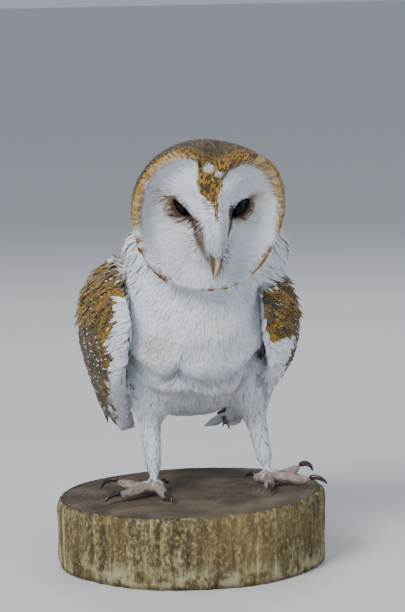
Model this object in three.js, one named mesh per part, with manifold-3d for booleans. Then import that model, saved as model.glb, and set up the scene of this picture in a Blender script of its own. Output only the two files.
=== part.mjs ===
// A mounted barn owl, life size, standing on a round slice of log.
//
// Millimetres, +Z up. The origin is the middle of the log slice's underside. The owl faces -Y and its
// left side is +X. It leans forward with the head lowered, the wings half drooped and the feet set wide.
// Every body part is a closed solid, parted from its neighbours by a thin cut.

import * as THREE from "three";
import { mergeVertices } from "three/addons/utils/BufferGeometryUtils.js";
import Module from "manifold-3d";

const wasm = await Module();
wasm.setup();

// ---------- driving dimensions ----------

const BASE_RADIUS = 82; // the log slice, over its rough side
const BASE_HEIGHT = 43; // at its middle
const BASE_TOP_SLOPE = 0.026; // the saw cut rises this much for each millimetre towards +X
const CUT = 0.35; // the gap left between neighbouring solids

const HEAD_AT = [5.2, -69, 171]; // the middle of the face, over the log's top
const HEAD_PITCH = 12; // degrees, beak down
const HEAD_ROLL = 4.4; // degrees, the owl's left ear down
const HEAD_YAW = 4.5; // degrees, towards the owl's left
const DISC_RADII = [30, 42, 46.5, 46, 44.5, 44, 45.5, 44.5, 42]; // notch, over the lobe, down to the chin
const HEAD_DEPTH = 64; // from the rim of the face back to the nape
const CRANIUM = { wide: 46, over: 43.5, under: 36, askew: 3 }; // askew towards the owl's left

const EYE_RADIUS = 9.5;
const EYE_AT = { x: 16.7, z: 6, forward: -11.5 }; // in the head's frame

const LEAN = 0.06; // the trunk leans to the owl's right by this much for each millimetre up
const LEAN_PIVOT = 125; // the height over the log that stays where it is

const FEET = [
  { side: -1, name: "right", x: -22, y: -4, heel: [-23, 13, 60] },
  { side: 1, name: "left", x: 48.5, y: -1, heel: [38.5, 12, 60] },
];
const TOES = [
  // heading in degrees from straight ahead towards the outside, length without the claw, lift of the tip
  { name: "inner", heading: -10, length: 24, radius: 3.3, lift: 0 },
  { name: "middle", heading: 62, length: 27.5, radius: 3.4, lift: 0 },
  { name: "outer", heading: 118, length: 25, radius: 3.2, lift: 4 },
  { name: "hind", heading: 208, length: 15, radius: 3.1, lift: 0 },
];
const CLAW = { length: 12.5, radius: 2.1 };
const SOLE_HEIGHT = 8; // of the ankle joint over the log

const PRIMARIES = 5;
const RECTRICES = 10;
const TAIL_LENGTH = 118;

// ---------- making solids ----------

const degrees = THREE.MathUtils.degToRad;
const vector = (x, y, z) => new THREE.Vector3(x, y, z);
const curveThrough = (points) => new THREE.CatmullRomCurve3(points.map((p) => vector(...p)));
const bell = (x, middle, width) => Math.exp(-(((x - middle) / width) ** 2));
const logTop = (x) => BASE_TOP_SLOPE * x; // height of the log's top over its middle

// A smooth function of 0 to 1 that passes through evenly spaced values.
function row(values) {
  const curve = new THREE.SplineCurve(values.map((v, i) => new THREE.Vector2(i, v)));
  return (t) => curve.getPoint(THREE.MathUtils.clamp(t, 0, 1)).y;
}

// A geometry with its vertices merged, and each of them moved by place(point).
function shaped(geometry, place) {
  geometry.deleteAttribute("normal");
  geometry.deleteAttribute("uv");
  const merged = mergeVertices(geometry, 1e-4);
  const position = merged.getAttribute("position");
  const point = new THREE.Vector3();
  for (let i = 0; i < position.count; i++) {
    point.fromBufferAttribute(position, i);
    place(point);
    position.setXYZ(i, point.x, point.y, point.z);
  }
  return merged;
}

// The same surface, moved outwards by a distance.
function grown(geometry, distance) {
  const wider = geometry.clone();
  wider.computeVertexNormals();
  const position = wider.getAttribute("position");
  const normal = wider.getAttribute("normal");
  const sense = signedVolume(wider) < 0 ? -1 : 1;
  for (let i = 0; i < position.count; i++) {
    position.setXYZ(
      i,
      position.getX(i) + sense * distance * normal.getX(i),
      position.getY(i) + sense * distance * normal.getY(i),
      position.getZ(i) + sense * distance * normal.getZ(i),
    );
  }
  return wider;
}

function signedVolume(geometry) {
  const index = geometry.index.array;
  const position = geometry.getAttribute("position");
  const [a, b, c] = [new THREE.Vector3(), new THREE.Vector3(), new THREE.Vector3()];
  let volume = 0;
  for (let i = 0; i < index.length; i += 3) {
    a.fromBufferAttribute(position, index[i]);
    b.fromBufferAttribute(position, index[i + 1]);
    c.fromBufferAttribute(position, index[i + 2]);
    volume += a.dot(b.cross(c)) / 6;
  }
  return volume;
}

// A manifold solid of a closed geometry, with its faces turned to point out.
function solid(geometry) {
  const triVerts = new Uint32Array(geometry.index.array);
  if (signedVolume(geometry) < 0) triVerts.reverse();
  const vertProperties = new Float32Array(geometry.getAttribute("position").array);
  return new wasm.Manifold(new wasm.Mesh({ numProp: 3, vertProperties, triVerts }));
}

const union = (solids) => solids.reduce((sum, next) => sum.add(next));

// The largest piece of a cut solid, without the slivers beside it.
const mainPiece = (cut) => cut.decompose().sort((a, b) => b.volume() - a.volume())[0];

// A rounded body along a spine: wide(t) to each side, over(t) on the upper side, under(t) below.
function loft({ spine, wide, over, under, around = 28, rings = 20, blunt = 2.4 }) {
  const sphere = new THREE.SphereGeometry(1, around, rings);
  return shaped(sphere, (point) => {
    const t = Math.acos(THREE.MathUtils.clamp(point.y, -1, 1)) / Math.PI;
    const turn = Math.atan2(point.z, point.x);
    const end = Math.max(0, 1 - Math.abs(2 * t - 1) ** blunt) ** (1 / blunt);
    const along = spine.getTangentAt(t);
    const lateral = vector(1, 0, 0).addScaledVector(along, -along.x).normalize();
    const upper = lateral.clone().cross(along);
    const height = Math.sin(turn) > 0 ? over(t) : under(t);
    point
      .copy(spine.getPointAt(t))
      .addScaledVector(lateral, end * wide(t) * Math.cos(turn))
      .addScaledVector(upper, end * height * Math.sin(turn));
  });
}

// A round tapering limb: radii at evenly spaced places along the points.
function limb(points, radii, around = 14, rings = 12, blunt = 3) {
  const radius = row(radii);
  const spine = curveThrough(points);
  return loft({ spine, wide: radius, over: radius, under: radius, around, rings, blunt });
}

// The trunk leans sideways, and all that hangs on it leans with it.
function leaned(geometry) {
  return shaped(geometry, (p) => {
    p.x += LEAN * (LEAN_PIVOT - p.z);
  });
}

// ---------- the log slice ----------

function logSlice() {
  const lumps = (turn) =>
    1.1 * Math.cos(2 * turn + 0.4) + 0.9 * Math.cos(3 * turn + 1.1) + 0.6 * Math.cos(7 * turn + 2.0);
  const cylinder = new THREE.CylinderGeometry(1, 1, 1, 56, 2);
  return shaped(cylinder, (p) => {
    const turn = Math.atan2(p.z, p.x);
    const share = p.y + 0.5;
    const bark = BASE_RADIUS - 2.4 + lumps(turn) - 1.2 * Math.abs(2 * share - 1) ** 6;
    const reach = Math.hypot(p.x, p.z) * bark;
    const x = reach * Math.cos(turn);
    const top = BASE_HEIGHT + logTop(x);
    p.set(x, reach * Math.sin(turn), share * top);
  });
}

// ---------- trunk, neck and tail ----------

const trunkSpine = curveThrough([
  [0, -34, 168],
  [0, -27, 141],
  [0, -10, 110],
  [0, 20, 84],
  [0, 56, 66],
  [0, 96, 50],
]);

function trunk() {
  const body = loft({
    spine: trunkSpine,
    wide: row([40, 46, 46, 44, 36, 22]),
    over: row([32, 42, 49, 44, 30, 12]),
    under: row([30, 35, 40, 39, 26, 8]),
    around: 24,
    rings: 14,
  });
  // The breast skin hangs in two heavy folds over the belly.
  const sagged = shaped(body, (p) => {
    const front = bell(p.y, -45, 38);
    const upperFold = 4 * bell(p.z, 97, 15) * (bell(p.x, -26, 18) + bell(p.x, 14, 26));
    const lowerFold = 2.5 * bell(p.z, 68, 10) * (bell(p.x, -18, 16) + bell(p.x, 22, 20));
    p.y -= front * (upperFold + lowerFold);
    p.z -= 0.5 * front * (upperFold + lowerFold);
  });
  return leaned(sagged);
}

function neck() {
  const ruffled = loft({
    spine: curveThrough([
      [5, -6, 132],
      [9, -22, 154],
      [8, -44, 176],
    ]),
    wide: row([46, 51, 44]),
    over: row([38, 34, 28]),
    under: row([36, 36, 30]),
    around: 20,
    rings: 8,
    blunt: 2.6,
  });
  return leaned(ruffled);
}

// One long flat feather from root to tip, bowed by sag, as a thin closed blade, extra wider all round.
function blade({ root, tip, halfWidth, thickness, normal, sag, extra = 0 }) {
  const middle = root.clone().lerp(tip, 0.5).addScaledVector(normal, sag);
  const ahead = tip.clone().sub(root).setLength(2 * extra);
  const spine = new THREE.QuadraticBezierCurve3(root.clone().sub(ahead), middle, tip.clone().add(ahead));
  const width = row([0.55, 0.95, 1, 0.9, 0.62]);
  return shaped(new THREE.SphereGeometry(1, 4, 5), (point) => {
    const t = (1 - point.y) / 2;
    const turn = Math.atan2(point.z, point.x);
    const end = Math.sqrt(Math.max(0, 1 - Math.abs(2 * t - 1) ** 6));
    const along = spine.getTangentAt(t);
    const face = normal.clone().addScaledVector(along, -along.dot(normal)).normalize();
    const across = along.clone().cross(face);
    point
      .copy(spine.getPointAt(t))
      .addScaledVector(across, (halfWidth * width(t) + extra) * end * Math.cos(turn))
      .addScaledVector(face, (thickness / 2 + extra) * end * Math.sin(turn));
  });
}

// With extra, the same tail but thicker all round, for cutting its neighbours.
function tail(extra = 0) {
  const rootMiddle = vector(0, 74, 56);
  const slope = degrees(-14);
  const blades = [];
  for (let i = 0; i < RECTRICES; i++) {
    const share = (2 * i) / (RECTRICES - 1) - 1;
    const fan = degrees(6 * share);
    const length = TAIL_LENGTH - 7 * share * share;
    const root = rootMiddle.clone().add(vector(9.5 * share, 0, -2 * share * share));
    const reach = vector(
      Math.sin(fan) * length,
      Math.cos(fan) * Math.cos(slope) * length,
      Math.sin(slope) * length - 4 * share * share,
    );
    const normal = vector(0.25 * share, 0.38, 0.92).normalize();
    const layer = 0.5 * (1 - Math.abs(share));
    const lifted = root.addScaledVector(normal, layer);
    const tip = lifted.clone().add(reach);
    const feather = blade({ root: lifted, tip, halfWidth: 9, thickness: 1.8, normal, sag: 3, extra });
    blades.push(solid(leaned(feather)));
  }
  const coverts = loft({
    spine: curveThrough([
      [0, 66, 60],
      [0, 96, 50],
      [0, 132, 40],
    ]),
    wide: row([18, 22, 19]),
    over: row([9, 8, 3]),
    under: row([9, 8, 3]),
    around: 10,
    rings: 6,
    blunt: 2,
  });
  return union([...blades, solid(grown(leaned(coverts), extra))]);
}

// ---------- wings ----------

const wingSpine = [
  [42, -49, 112],
  [55, -22, 110],
  [56, 14, 98],
  [51, 56, 76],
  [44, 100, 52],
  [36, 140, 34],
];

function wing(side) {
  const spine = curveThrough(wingSpine.map(([x, y, z]) => [side * x, y, z]));
  const across = row([32, 40, 43, 42, 35, 20]);
  const thick = row([6, 9, 8, 6.5, 4.5, 2.5]);
  const curl = row([7, 13, 18, 20, 16, 9]); // how far the two long edges bend in towards the body
  const arm = shaped(new THREE.SphereGeometry(1, 16, 11), (point) => {
    const t = Math.acos(THREE.MathUtils.clamp(point.y, -1, 1)) / Math.PI;
    const turn = Math.atan2(point.z, point.x);
    const blunt = t < 0.5 ? 5 : 2.6;
    const end = Math.max(0, 1 - Math.abs(2 * t - 1) ** blunt) ** (1 / blunt);
    const along = spine.getTangentAt(t);
    const out = vector(side, 0, 0).addScaledVector(along, -side * along.x).normalize();
    const upper = vector(1, 0, 0).cross(vector(0, along.y, along.z)).normalize();
    const edge = Math.sin(turn);
    const bend = curl(t) * (edge > 0 ? 1.25 : 0.8) * edge * edge; // more along the back than below
    point
      .copy(spine.getPointAt(t))
      .addScaledVector(upper, end * across(t) * edge)
      .addScaledVector(out, end * (thick(t) * Math.cos(turn) - bend));
  });
  const feathers = [];
  for (let i = 0; i < PRIMARIES; i++) {
    const step = i / (PRIMARIES - 1);
    const root = vector(side * (47 - 5 * step), 70, 50 + 22 * step);
    const tip = vector(side * (28 + 4 * step), 204 - 50 * step, 21 + 20 * step);
    const normal = vector(side * 0.9, 0.25, 0.35).normalize();
    feathers.push(solid(leaned(blade({ root, tip, halfWidth: 10, thickness: 2, normal, sag: 4 }))));
  }
  return union([solid(leaned(arm)), ...feathers]);
}

// ---------- head, eyes and beak ----------

// Forward is -Y in the head's own frame, as it is on the whole owl.
function toHead(geometry) {
  const turn = new THREE.Matrix4().makeRotationFromEuler(
    new THREE.Euler(degrees(HEAD_PITCH), degrees(HEAD_ROLL), degrees(HEAD_YAW), "ZXY"),
  );
  return geometry.applyMatrix4(turn.setPosition(...HEAD_AT));
}

const discRadius = row(DISC_RADII);
const ridgeHeight = row([2, 5, 12, 17, 13, 3, 3]); // down the face, from the notch to the chin
const ridgeWidth = row([6.5, 7.5, 9, 9, 8, 8, 9]);

// How far the face stands forward of its rim's plane, at x to the side and z up.
function faceForward(x, z, t) {
  const down = (32 - z) / 72;
  const dish = -9 * bell(Math.abs(x), 29, 14) * bell(z, -4, 30);
  const brow = 4 * bell(Math.abs(x), 10, 7) * bell(z, 19, 8);
  const rim = 4.5 * THREE.MathUtils.smoothstep(t, 0.78, 0.96) - 2.5 * THREE.MathUtils.smoothstep(t, 0.95, 1);
  const swept = -0.0026 * x * x;
  return dish + brow + rim + swept + ridgeHeight(down) * bell(x, 0, ridgeWidth(down));
}

function headShape() {
  const rimShare = 0.56; // of the way from the middle of the face to the nape
  return shaped(new THREE.SphereGeometry(1, 34, 20), (point) => {
    const share = Math.acos(THREE.MathUtils.clamp(point.y, -1, 1)) / Math.PI;
    const turn = Math.atan2(point.z, point.x);
    const fromNotch = Math.abs(Math.atan2(Math.cos(turn), Math.sin(turn))) / Math.PI;
    const outline = discRadius(fromNotch);
    if (share <= rimShare) {
      const t = share / rimShare;
      const x = outline * t * Math.cos(turn);
      const z = outline * t * Math.sin(turn);
      point.set(x, -faceForward(x, z, t), z);
      return;
    }
    const back = (share - rimShare) / (1 - rimShare);
    const height = Math.sin(turn) > 0 ? CRANIUM.over : CRANIUM.under;
    const round = 1 / Math.hypot(Math.cos(turn) / CRANIUM.wide, Math.sin(turn) / height);
    const blend = THREE.MathUtils.smoothstep(back, 0, 0.4);
    const reach = THREE.MathUtils.lerp(outline, round, blend) * Math.cos((back ** 1.25 * Math.PI) / 2);
    const rimSwept = 0.0026 * (outline * Math.cos(turn)) ** 2 - 2;
    const behind = THREE.MathUtils.lerp(rimSwept, HEAD_DEPTH, Math.sin((back * Math.PI) / 2) ** 1.15);
    point.set(reach * Math.cos(turn) + CRANIUM.askew * blend, behind, reach * Math.sin(turn));
  });
}

function eyeBall(side, extra = 0) {
  const ball = new THREE.SphereGeometry(EYE_RADIUS + extra, 14, 8);
  const merged = shaped(ball, () => {});
  return merged.translate(side * EYE_AT.x, -EYE_AT.forward, EYE_AT.z);
}

// The horny upper bill: a hooked cone that comes out of the ridge and turns down.
function upperBill() {
  const curve = curveThrough([
    [0, -10, -7],
    [0, -17.5, -13],
    [0, -20.5, -21],
    [0, -19, -31.5],
  ]);
  return loft({
    spine: curve,
    wide: row([4.4, 3.8, 2.7, 0.5]),
    over: row([4.2, 4.2, 3.4, 0.5]),
    under: row([4.6, 4.6, 3.6, 0.5]),
    around: 12,
    rings: 10,
    blunt: 4,
  });
}

function lowerBill() {
  const curve = curveThrough([
    [0, -5, -15],
    [0, -10.5, -19.5],
    [0, -14, -25],
  ]);
  return loft({
    spine: curve,
    wide: row([3, 2.5, 0.8]),
    over: row([2, 1.8, 0.7]),
    under: row([2, 1.8, 0.7]),
    around: 8,
    rings: 6,
    blunt: 3,
  });
}

// ---------- legs and feet ----------

function thigh(foot) {
  const [x, y, z] = foot.heel;
  return limb(
    [
      [foot.side * 26 + 4, -4, 88],
      [x - foot.side * 2, y - 8, z + 8],
      [x + (foot.x - x) * 0.34, y + (foot.y - y) * 0.34, z - 24],
    ],
    [17, 16, 8.5],
    12,
    7,
    2.2,
  );
}

function shank(foot) {
  const [x, y, z] = foot.heel;
  const ankle = logTop(foot.x) + SOLE_HEIGHT;
  return limb(
    [
      [x, y - 2, z + 4],
      [(x + foot.x) / 2, (y + foot.y) / 2, (z + ankle) / 2],
      [foot.x, foot.y, ankle - 1],
    ],
    [7.2, 6, 4.8],
    10,
    5,
    5,
  );
}

// The toe's line on the log: out of the ankle, over the knuckles, to the root of the claw.
function toePoints(foot, toe) {
  const heading = degrees(toe.heading);
  const ahead = [foot.side * Math.sin(heading), -Math.cos(heading)];
  const rest = toe.radius + CUT;
  const at = (reach, lift) => {
    const x = foot.x + ahead[0] * reach;
    return [x, foot.y + ahead[1] * reach, logTop(x) + lift];
  };
  const points = [
    at(0, SOLE_HEIGHT - 2.5),
    at(toe.length * 0.36, rest + 1.6),
    at(toe.length * 0.7, rest + 0.1 + 0.6 * toe.lift),
    at(toe.length, rest + 0.8 + toe.lift),
  ];
  return { points, at };
}

function footShape(foot) {
  const ankleHeight = logTop(foot.x) + SOLE_HEIGHT;
  const toes = TOES.map((toe) => {
    const r = toe.radius;
    return solid(limb(toePoints(foot, toe).points, [r * 1.15, r * 1.05, r * 0.9, r, r * 0.85], 6, 6, 3));
  });
  const palm = shaped(new THREE.SphereGeometry(1, 10, 6), (p) => {
    p.set(foot.x + 6.6 * p.x, foot.y + 6.6 * p.y, ankleHeight - 3 + (p.z > 0 ? 5 : 4.2) * p.z);
  });
  return union([...toes, solid(palm)]);
}

function claw(foot, toe) {
  const { at } = toePoints(foot, toe);
  const start = toe.length - 1.5;
  const rest = toe.radius + CUT + toe.lift;
  return limb(
    [
      at(start, rest + 1.2),
      at(start + CLAW.length * 0.4, rest + 2),
      at(start + CLAW.length * 0.78, rest - 0.6),
      at(start + CLAW.length * 0.9, 0.5 + CUT + 0.4 * toe.lift),
    ],
    [CLAW.radius, CLAW.radius * 0.95, CLAW.radius * 0.62, 0.35],
    7,
    6,
    8,
  );
}

// ---------- putting the owl together ----------

const colours = {
  log: { color: 0x6b4f2c, roughness: 0.9 },
  white: { color: 0xdfe4ea, roughness: 0.85 },
  gold: { color: 0xa9792f, roughness: 0.85 },
  eye: { color: 0x07060a, roughness: 0.08 },
  horn: { color: 0x9a8259, roughness: 0.4 },
  skin: { color: 0x9b8a86, roughness: 0.7 },
  claw: { color: 0x141113, roughness: 0.35 },
};

const part = new THREE.Group();
const owl = new THREE.Group();
owl.position.z = BASE_HEIGHT;
part.add(owl);

function addMesh(parent, name, shape, colour) {
  const { numProp, vertProperties, triVerts } = shape.getMesh();
  const geometry = new THREE.BufferGeometry();
  const corners = new THREE.InterleavedBuffer(vertProperties, numProp);
  geometry.setAttribute("position", new THREE.InterleavedBufferAttribute(corners, 3, 0));
  geometry.setIndex(new THREE.BufferAttribute(triVerts, 1));
  geometry.computeVertexNormals();
  const mesh = new THREE.Mesh(geometry, new THREE.MeshStandardMaterial(colours[colour]));
  mesh.name = name;
  parent.add(mesh);
}

addMesh(part, "log_base", solid(logSlice()), "log");

const headGeometry = toHead(headShape());
const billUpperGeometry = toHead(upperBill());
const billLowerGeometry = toHead(lowerBill());
const eyes = [-1, 1].map((side) => toHead(eyeBall(side)));
const sockets = [-1, 1].map((side) => toHead(eyeBall(side, CUT)));

const billUpper = solid(billUpperGeometry);
const billLower = mainPiece(solid(billLowerGeometry).subtract(solid(grown(billUpperGeometry, CUT))));
const head = mainPiece(
  solid(headGeometry)
    .subtract(solid(grown(billUpperGeometry, CUT)))
    .subtract(solid(grown(billLowerGeometry, CUT)))
    .subtract(union(sockets.map(solid))),
);
const eyeSolids = eyes.map(solid);

const headWide = solid(grown(headGeometry, CUT));
const trunkGeometry = trunk();
const trunkWide = solid(grown(trunkGeometry, CUT));
const neckGeometry = neck();
const neckWide = solid(grown(neckGeometry, CUT));
const body = mainPiece(solid(trunkGeometry).subtract(headWide));
const neckSolid = mainPiece(solid(neckGeometry).subtract(headWide).subtract(trunkWide));

addMesh(owl, "head", head, "white");
addMesh(owl, "bill_upper", billUpper, "horn");
addMesh(owl, "bill_lower", billLower, "horn");
addMesh(owl, "eye_right", eyeSolids[0], "eye");
addMesh(owl, "eye_left", eyeSolids[1], "eye");
addMesh(owl, "neck", neckSolid, "white");
addMesh(owl, "trunk", body, "white");

const thighGeometries = FEET.map(thigh);
const thighWide = union(thighGeometries.map((g) => solid(grown(g, CUT))));
const tailSolid = mainPiece(tail().subtract(trunkWide));
const tailWide = tail(2 * CUT);
addMesh(owl, "tail", tailSolid, "gold");

FEET.forEach((foot, i) => {
  const shankGeometry = shank(foot);
  const shankWide = solid(grown(shankGeometry, CUT));
  const footSolid = footShape(foot);
  const thighSolid = mainPiece(solid(thighGeometries[i]).subtract(trunkWide).subtract(shankWide));
  addMesh(owl, `thigh_${foot.name}`, thighSolid, "white");
  addMesh(owl, `shank_${foot.name}`, mainPiece(solid(shankGeometry).subtract(trunkWide)), "white");
  const claws = TOES.map((toe) => claw(foot, toe));
  const clawsWide = union(claws.map((g) => solid(grown(g, CUT))));
  addMesh(owl, `foot_${foot.name}`, mainPiece(footSolid.subtract(shankWide).subtract(clawsWide)), "skin");
  TOES.forEach((toe, k) => addMesh(owl, `claw_${foot.name}_${toe.name}`, solid(claws[k]), "claw"));
});

for (const [side, name] of [
  [-1, "right"],
  [1, "left"],
]) {
  const wingSolid = [trunkWide, neckWide, headWide, thighWide, tailWide].reduce(
    (rest, neighbour) => rest.subtract(neighbour),
    wing(side),
  );
  addMesh(owl, `wing_${name}`, mainPiece(wingSolid), "gold");
}

export default part;
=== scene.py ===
import math
import bpy
import numpy as np
from mathutils import Matrix, Vector, noise
from mathutils.bvhtree import BVHTree
from mathutils.kdtree import KDTree


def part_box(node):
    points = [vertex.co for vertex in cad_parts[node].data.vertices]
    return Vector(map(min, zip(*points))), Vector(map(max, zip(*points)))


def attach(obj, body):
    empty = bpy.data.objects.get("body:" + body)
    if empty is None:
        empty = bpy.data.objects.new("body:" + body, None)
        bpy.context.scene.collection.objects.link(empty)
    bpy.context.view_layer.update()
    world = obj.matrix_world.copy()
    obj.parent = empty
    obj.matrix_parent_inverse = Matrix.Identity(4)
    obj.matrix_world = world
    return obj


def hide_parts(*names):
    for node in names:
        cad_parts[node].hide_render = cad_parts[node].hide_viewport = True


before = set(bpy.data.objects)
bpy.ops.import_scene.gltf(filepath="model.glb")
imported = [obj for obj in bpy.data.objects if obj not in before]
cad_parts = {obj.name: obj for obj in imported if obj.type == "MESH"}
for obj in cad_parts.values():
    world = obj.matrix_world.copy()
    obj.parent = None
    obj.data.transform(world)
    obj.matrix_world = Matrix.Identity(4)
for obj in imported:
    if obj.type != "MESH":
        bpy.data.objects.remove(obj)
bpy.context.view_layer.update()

# ---------- the studio: a pale floor, three soft lamps and the camera ----------
# A sheet of pale board lies under the specimen. One wide lamp stands high on the owl's right, a weaker
# one fills from its left, and a third is above and behind.

FLOOR_SIZE = 300.0
VIEW_AZIMUTH, VIEW_HEIGHT, VIEW_ROLL = (math.radians(a) for a in (-9.0, 7.0, -1.2))
VIEW_TARGET = Vector((0.010, 0.0, 0.1555))
VIEW_DISTANCE = 1.5
VIEW_LENS = 147.06

bpy.ops.object.select_all(action="DESELECT")
bpy.ops.mesh.primitive_plane_add(size=FLOOR_SIZE, location=(0, 0, 0))
floor = bpy.context.object
floor.name = "floor"
board = bpy.data.materials.new("pale board")
board.use_nodes = True
board.node_tree.nodes["Principled BSDF"].inputs["Base Color"].default_value = (0.66, 0.66, 0.66, 1)
board.node_tree.nodes["Principled BSDF"].inputs["Roughness"].default_value = 0.85
floor.data.materials.append(board)

back = Vector((
    math.sin(VIEW_AZIMUTH) * math.cos(VIEW_HEIGHT),
    -math.cos(VIEW_AZIMUTH) * math.cos(VIEW_HEIGHT),
    math.sin(VIEW_HEIGHT),
))
level = Vector((math.cos(VIEW_AZIMUTH), math.sin(VIEW_AZIMUTH), 0))
above = back.cross(level)
camera_right = level * math.cos(VIEW_ROLL) + above * math.sin(VIEW_ROLL)
camera_up = above * math.cos(VIEW_ROLL) - level * math.sin(VIEW_ROLL)
camera = bpy.data.objects.new("camera", bpy.data.cameras.new("camera"))
camera.matrix_world = Matrix.Translation(VIEW_TARGET + back * VIEW_DISTANCE) @ (
    Matrix((camera_right, camera_up, back)).transposed().to_4x4()
)
camera.data.lens = VIEW_LENS
camera.data.sensor_width = 36
camera.data.clip_start = 0.05
camera.data.clip_end = 500
bpy.context.collection.objects.link(camera)
bpy.context.scene.camera = camera


def soft_lamp(name, place, target, size, watts, colour):
    lamp = bpy.data.lights.new(name, "AREA")
    lamp.size = size
    lamp.energy = watts
    lamp.color = colour
    holder = bpy.data.objects.new(name, lamp)
    holder.location = place
    holder.rotation_euler = (Vector(target) - Vector(place)).to_track_quat("-Z", "Y").to_euler()
    bpy.context.collection.objects.link(holder)


OWL_MIDDLE = (0.0, 0.0, 0.15)
soft_lamp("key lamp", (-0.9, -1.1, 1.15), OWL_MIDDLE, 0.7, 31, (0.97, 0.98, 1.0))
soft_lamp("fill lamp", (1.2, -1.0, 0.55), OWL_MIDDLE, 1.0, 5.5, (0.86, 0.93, 1.0))
soft_lamp("back lamp", (0.3, 1.2, 1.2), OWL_MIDDLE, 0.8, 8, (0.95, 0.97, 1.0))
world = bpy.data.worlds.new("studio")
world.use_nodes = True
world.node_tree.nodes["Background"].inputs["Color"].default_value = (0.80, 0.88, 1.0, 1)
world.node_tree.nodes["Background"].inputs["Strength"].default_value = 0.48
bpy.context.scene.world = world

# ---------- the log slice ----------
# A round cut from a weathered trunk, with its bark worn to upright ridges. Both ends are sawn, and the
# top one is grey with age, ringed, and split by a few cracks from the heart.

MM = 0.001
LOG_RADIUS = 82.0
LOG_HEIGHT = 43.0
LOG_TOP_SLOPE = 0.026
LOG_SIDE_STEPS = 40
LOG_RING_STEPS = 34
LOG_TURNS = 360
LOG_SPLITS = ((0.6, 0.7, 1.6), (2.3, 0.5, 1.1), (-2.5, 0.8, 1.5), (-1.35, 0.45, 1.0))

bpy.ops.object.select_all(action="DESELECT")
bpy.ops.mesh.primitive_circle_add(vertices=LOG_TURNS, radius=LOG_RADIUS * MM, location=(0, 0, 0))
log_slice = bpy.context.object
log_slice.name = "log_slice"
bpy.ops.object.mode_set(mode="EDIT")
for step in range(LOG_SIDE_STEPS):
    rise = LOG_HEIGHT * MM / LOG_SIDE_STEPS
    bpy.ops.mesh.extrude_region_move(TRANSFORM_OT_translate={"value": (0, 0, rise)})
for step in range(LOG_RING_STEPS - 1):
    shrink = (LOG_RING_STEPS - 1 - step) / (LOG_RING_STEPS - step)
    bpy.ops.mesh.extrude_region_move(TRANSFORM_OT_translate={"value": (0, 0, 0)})
    bpy.ops.transform.resize(value=(shrink, shrink, 1), center_override=(0, 0, LOG_HEIGHT * MM))
bpy.ops.mesh.edge_face_add()
bpy.ops.mesh.poke()
bpy.ops.mesh.select_all(action="DESELECT")
bpy.ops.mesh.select_non_manifold(extend=False, use_wire=False, use_multi_face=False)
bpy.ops.mesh.edge_face_add()
bpy.ops.mesh.select_all(action="SELECT")
bpy.ops.mesh.normals_make_consistent(inside=False)
bpy.ops.object.mode_set(mode="OBJECT")


def coordinates(obj):
    flat = np.empty(len(obj.data.vertices) * 3)
    obj.data.vertices.foreach_get("co", flat)
    return flat.reshape(-1, 3)


def put_coordinates(obj, points):
    obj.data.vertices.foreach_set("co", np.ascontiguousarray(points, dtype=np.float64).ravel())
    obj.data.update()


def rough(points, size, octaves=3, seed=0.0):
    """Smooth noise of about -1 to 1 at each point, with lumps of the given size."""
    return np.array([
        noise.fractal(Vector(p) / size + Vector((seed, seed * 1.7, -seed)), 1.0, 2.0, octaves)
        for p in points
    ])


def smoothstep(value, low, high):
    share = np.clip((value - low) / (high - low), 0, 1)
    return share * share * (3 - 2 * share)


def take_up(obj):
    """Selects one object alone, for the operators that follow."""
    bpy.ops.object.select_all(action="DESELECT")
    obj.select_set(True)
    bpy.context.view_layer.objects.active = obj


points = coordinates(log_slice) / MM
turn = np.arctan2(points[:, 1], points[:, 0])
reach = np.hypot(points[:, 0], points[:, 1]) / LOG_RADIUS
height = points[:, 2] / LOG_HEIGHT
lumps = 1.1 * np.cos(2 * turn + 0.4) + 0.9 * np.cos(3 * turn - 1.1) + 0.6 * np.cos(7 * turn + 2.0)
around = np.stack([np.cos(turn) * 12, np.sin(turn) * 12, height * 1.3], 1)
ridges = rough(around, 1.0, 4)
cracks = -np.abs(rough(around * np.array([2.2, 2.2, 0.9]), 1.0, 3, 5.0))
side = smoothstep(reach, 0.965, 1.0)
edge_wear = 1.6 * np.abs(2 * height - 1) ** 10
radius = LOG_RADIUS - 2.4 + lumps + side * (1.1 * ridges + 1.3 * cracks - edge_wear)
splits = np.zeros(len(points))
for at, wide, deep in LOG_SPLITS:
    aside = np.angle(np.exp(1j * (turn - at))) * reach * LOG_RADIUS
    splits += np.exp(-((aside / wide) ** 2)) * smoothstep(reach, 0.05, 0.3) * deep
sawn = rough(np.stack([points[:, 0], points[:, 1] * 6, points[:, 2]], 1), 14.0, 3, 2.0)
top = points[:, 2] > LOG_HEIGHT * 0.999
points[:, 0] = radius * reach * np.cos(turn)
points[:, 1] = radius * reach * np.sin(turn)
points[:, 2] = height * (LOG_HEIGHT + LOG_TOP_SLOPE * points[:, 0])
points[top, 2] += (0.18 * sawn - 0.35 - splits - 0.9 * smoothstep(reach, 0.97, 1.0))[top]
put_coordinates(log_slice, points * MM)
take_up(log_slice)
bpy.ops.object.shade_smooth_by_angle(angle=math.radians(50))


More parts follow.
